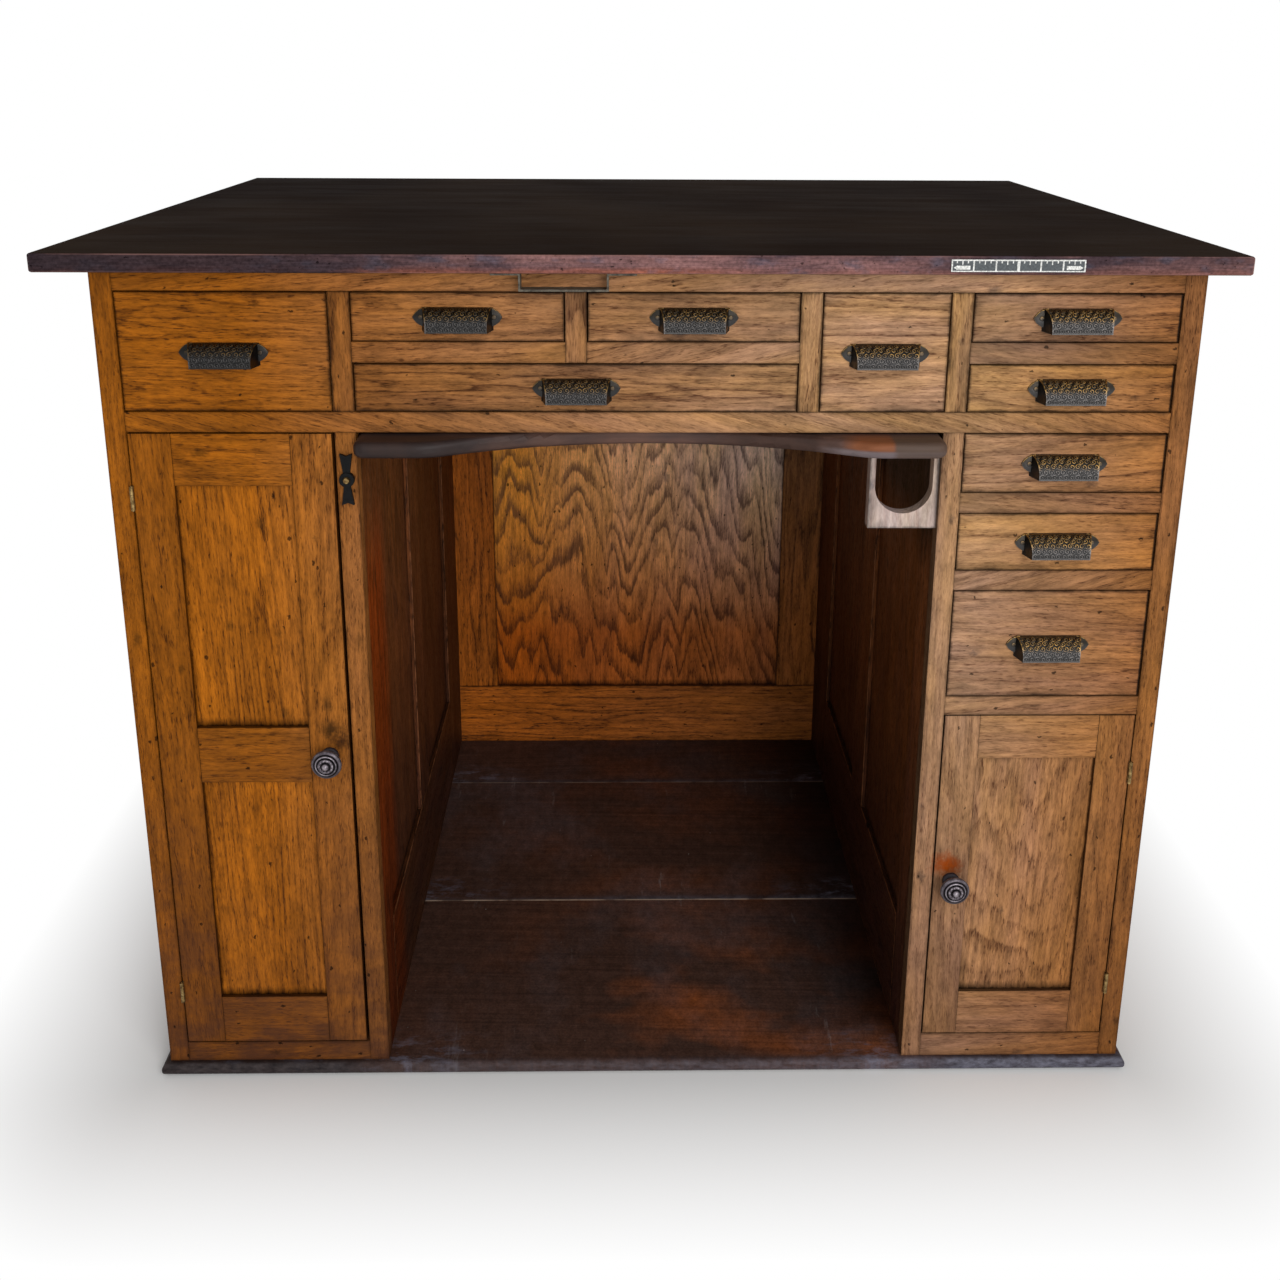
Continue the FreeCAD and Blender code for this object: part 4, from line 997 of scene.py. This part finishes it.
def pull_mesh(material):
    """One bin pull, its back at y = 0: a cast hood open below, between two pointed ears."""
    columns, rows = HOOD_GRID
    half = HOOD_WIDTH / 2
    y, z, normal_y, normal_z, run = hood_profile(HOOD_RADIUS, HOOD_LIP, rows)
    x = np.linspace(-half, half, columns + 1)
    height = scroll_relief(x[None, :] * 1000, run[:, None] * 1000, run[-1] * 1000)
    fade = np.clip(np.minimum(np.arange(rows + 1), rows - np.arange(rows + 1)) / 1.5, 0, 1)[:, None]
    lift = (height - 1) * RELIEF * 0.5 * fade
    shape = bmesh.new()
    relief = shape.verts.layers.float.new("relief")

    def point(px, py, pz, level):
        made = shape.verts.new((px, py, pz))
        made[relief] = level
        return made

    def flared(depth):
        """Half the hood's width at a depth: its cheeks lean out towards the wall."""
        return half + HOOD_FLARE * (1 + depth / HOOD_RADIUS)

    outer = []
    for r in range(rows + 1):
        wide = flared(y[r]) / half
        levels = height[r] / 2 + 0.5
        depths = y[r] + normal_y[r] * lift[r]
        heights = z[r] + normal_z[r] * lift[r]
        outer.append([point(*row) for row in zip(x * wide, depths, heights, levels)])
    inner_half = half - HOOD_WALL
    iy, iz, _, _, _ = hood_profile(HOOD_RADIUS - HOOD_WALL, HOOD_LIP, rows)
    inner = [[point(px, iy[r], iz[r], 0.2) for px in (-inner_half, inner_half)] for r in range(rows + 1)]
    for r in range(rows):
        for c in range(columns):
            shape.faces.new((outer[r][c], outer[r][c + 1], outer[r + 1][c + 1], outer[r + 1][c]))
        shape.faces.new((inner[r][1], inner[r][0], inner[r + 1][0], inner[r + 1][1]))
    foot = z[-1]
    for side, end, sign in ((0, 0, 1), (1, columns, -1)):
        heel = point(-sign * flared(0), 0, foot, 0.3)
        cheek = [outer[r][end] for r in range(rows + 1)] + [heel]
        middle = Vector((0, -HOOD_RADIUS * 0.45, (z[0] + foot) / 2))
        # The cheek's inner face takes the hollows' dark level: painted shade on the ends of the hood
        sunk = []
        for corner in cheek:
            py, pz = corner.co.lerp(middle, CHEEK_RIM).yz
            sunk.append(point(sign * (CHEEK_DEPTH - flared(py)), py, pz, 0.0))
        bridge(shape, cheek, sunk)
        shape.faces.new(sunk)
        inner_heel = point(sign * -inner_half, 0, foot, 0.1)
        shape.faces.new([inner[r][side] for r in range(rows + 1)] + [inner_heel])
        shape.faces.new((outer[rows][end], heel, inner_heel, inner[rows][side]))
        shape.faces.new((outer[0][end], heel, inner_heel, inner[0][side]))
    shape.faces.new(outer[rows] + [inner[rows][1], inner[rows][0]])
    shape.faces.new(outer[0] + [inner[0][1], inner[0][0]])

    def arc(start, end, radius, steps=10):
        """Points of the arc from start to end that bulges to its right hand side."""
        chord = Vector(end) - Vector(start)
        middle = (Vector(start) + Vector(end)) / 2
        rise = math.sqrt(radius ** 2 - (chord.length / 2) ** 2)
        centre = middle + Vector((-chord.y, chord.x)).normalized() * rise
        first = math.atan2(start[1] - centre.y, start[0] - centre.x)
        sweep = 2 * math.asin(chord.length / 2 / radius)
        turns = [first + sweep * step / steps for step in range(steps)]
        return [(centre.x + radius * math.cos(a), centre.y + radius * math.sin(a)) for a in turns]

    tip = PULL_WIDTH / 2
    top = EAR_HEIGHT / 2
    ear = arc((half, -top), (tip, 0), EAR_ARC) + arc((tip, 0), (half, top), EAR_ARC) + [(half, top)]
    face = -EAR_THICKNESS
    steps = ((0, 0, 0.3), (0, face + EAR_RIM / 2, 0.85), (EAR_RIM, face, 0.55))
    for sign in (1, -1):
        layers = []
        for shrink, depth, level in steps:
            share = 1 - shrink / (tip - half)
            tall = 1 - shrink / top
            ring = [point(sign * (half + (px - half) * share), depth, pz * tall, level) for px, pz in ear]
            layers.append(ring)
        for first, second in zip(layers, layers[1:]):
            bridge(shape, first, second)
        shape.faces.new(layers[0])
        shape.faces.new(layers[-1])
        head = [(face + 0.0002 + a * EAR_SCREW * 0.6, b * EAR_SCREW) for a, b in SCREW_HEAD]
        verts, corners = lathe([(face + 0.0004, 0)] + head, 20)
        across = sign * (half + (tip - half) * SCREW_PLACE)
        made = [point(vx + across, vy, vz, 0.7 if vy < face - 0.0005 else 0.2) for vx, vy, vz in verts]
        for indices in corners:
            shape.faces.new([made[index] for index in indices])
    return new_mesh("bin_pull", shape, material, 50)


def make_pulls(material):
    mesh = pull_mesh(material)
    for name in [n for n in nodes if n.endswith("_pull")]:
        low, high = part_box(name)
        place = ((low.x + high.x) / 2, high.y, high.z - EAR_HEIGHT / 2)
        new_piece(f"{name}_casting", mesh, nodes[name]["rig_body"], place, name)


def knob_mesh(material):
    """A turned knob on the Y axis: a neck, a round rim and beads in steps up to a small button."""
    full = KNOB_PROFILE[-1][0]
    profile = [(-d * KNOB_PROJECTION / full, share * KNOB_RADIUS) for d, share, _ in KNOB_PROFILE]

    def beaded(y, radius, angle):
        on_ring = BEAD_RING[0] < radius / KNOB_RADIUS < BEAD_RING[1]
        if not on_ring or y > -BEAD_START:
            return 0
        return BEAD_RISE * math.cos(angle * BEADS)

    verts, faces = lathe(profile, KNOB_STEPS, beaded)
    levels = [level for _, share, level in KNOB_PROFILE for _ in range(KNOB_STEPS if share else 1)]
    shape = bmesh.new()
    relief = shape.verts.layers.float.new("relief")
    made = []
    for place, level in zip(verts, levels):
        made.append(shape.verts.new(place))
        made[-1][relief] = level
    for face in faces:
        shape.faces.new([made[index] for index in face])
    return new_mesh("turned_knob", shape, material, 60)


def make_knobs(material):
    mesh = knob_mesh(material)
    for name in ("left_door_knob", "right_door_knob"):
        new_piece(f"{name}_turning", mesh, nodes[name]["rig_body"], knob_seat(name), name)


# Stage


def make_camera():
    yaw, pitch, roll = (math.radians(angle) for angle in (CAMERA_YAW, CAMERA_PITCH, CAMERA_ROLL))
    level = math.cos(pitch)
    forward = Vector((math.sin(yaw) * level, math.cos(yaw) * level, -math.sin(pitch)))
    right = Vector((math.cos(yaw), -math.sin(yaw), 0))
    down = forward.cross(right)
    rolled = math.cos(roll) * right + math.sin(roll) * down
    up = math.sin(roll) * right - math.cos(roll) * down
    data = bpy.data.cameras.new("camera")
    data.sensor_width = SENSOR
    data.sensor_fit = "HORIZONTAL"
    data.lens = FOCAL_PIXELS / IMAGE_SIDE * SENSOR
    data.shift_x = (IMAGE_SIDE / 2 - CENTRE_PIXEL[0]) / IMAGE_SIDE
    data.shift_y = (CENTRE_PIXEL[1] - IMAGE_SIDE / 2) / IMAGE_SIDE
    camera = new_object("camera", data)
    turn = Matrix((rolled, up, -forward)).transposed().to_4x4()
    camera.matrix_world = Matrix.Translation(CAMERA_PLACE) @ turn
    bpy.context.scene.camera = camera


def make_lamp(name, place, size, power):
    data = bpy.data.lights.new(name, "AREA")
    data.size = size
    data.energy = power
    lamp = new_object(name, data)
    lamp.location = place
    lamp.rotation_euler = (Vector(AIM) - Vector(place)).to_track_quat("-Z", "Y").to_euler()


def make_world():
    """Even light on the desk, and white where the surroundings are seen."""
    world = bpy.data.worlds.new("studio")
    world.use_nodes = True
    g = Graph(world.node_tree)
    g.tree.nodes.clear()
    even, seen = (
        g.add("Background", {"Color": WHITE, "Strength": strength}).outputs[0]
        for strength in (WORLD_LIGHT, 1.0)
    )
    blend = g.add("MixShader", {0: g.seen_ray(), 1: even, 2: seen})
    g.add("OutputWorld", {"Surface": blend.outputs[0]})
    bpy.context.scene.world = world


def make_floor():
    """A pale floor that keeps the shadow near the desk and runs out into the white behind."""
    g = Material("floor")
    g.finish((250, 250, 249), 0.9, Specular_IOR_Level=0.0)
    glow = g.add("Emission", {"Color": WHITE, "Strength": 1.0})
    low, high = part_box("base_boards")
    apart = g.vector("ABSOLUTE", g.vector("SUBTRACT", g.place(), (low + high) / 2))
    outside = g.vector("MAXIMUM", g.vector("SUBTRACT", apart, (high - low) / 2), (0, 0, 0))
    distance = g.add("VectorMath", {0: outside}, operation="LENGTH").outputs["Value"]
    fade = g.times(g.ramp(distance, *FLOOR_FADE), g.seen_ray())
    blend = g.add("MixShader", {0: fade, 1: g.shader.outputs[0], 2: glow.outputs[0]})
    g.tree.links.new(blend.outputs[0], g.tree.nodes["Material Output"].inputs["Surface"])
    shape = bmesh.new()
    bmesh.ops.create_grid(shape, x_segments=1, y_segments=1, size=FLOOR_REACH)
    floor = new_object("floor", new_mesh("floor", shape, g.material))
    floor.location.z = -FLOOR_DROP


materials = make_materials()
dress_frame(materials)
make_pulls(materials["cast_pull"])
make_knobs(materials["cast_knob"])
ruler_marks(materials["ruler_white"])
make_floor()
make_world()
for lamp in LAMPS:
    make_lamp(*lamp)
make_camera()
bpy.context.scene.view_settings.view_transform = "Standard"
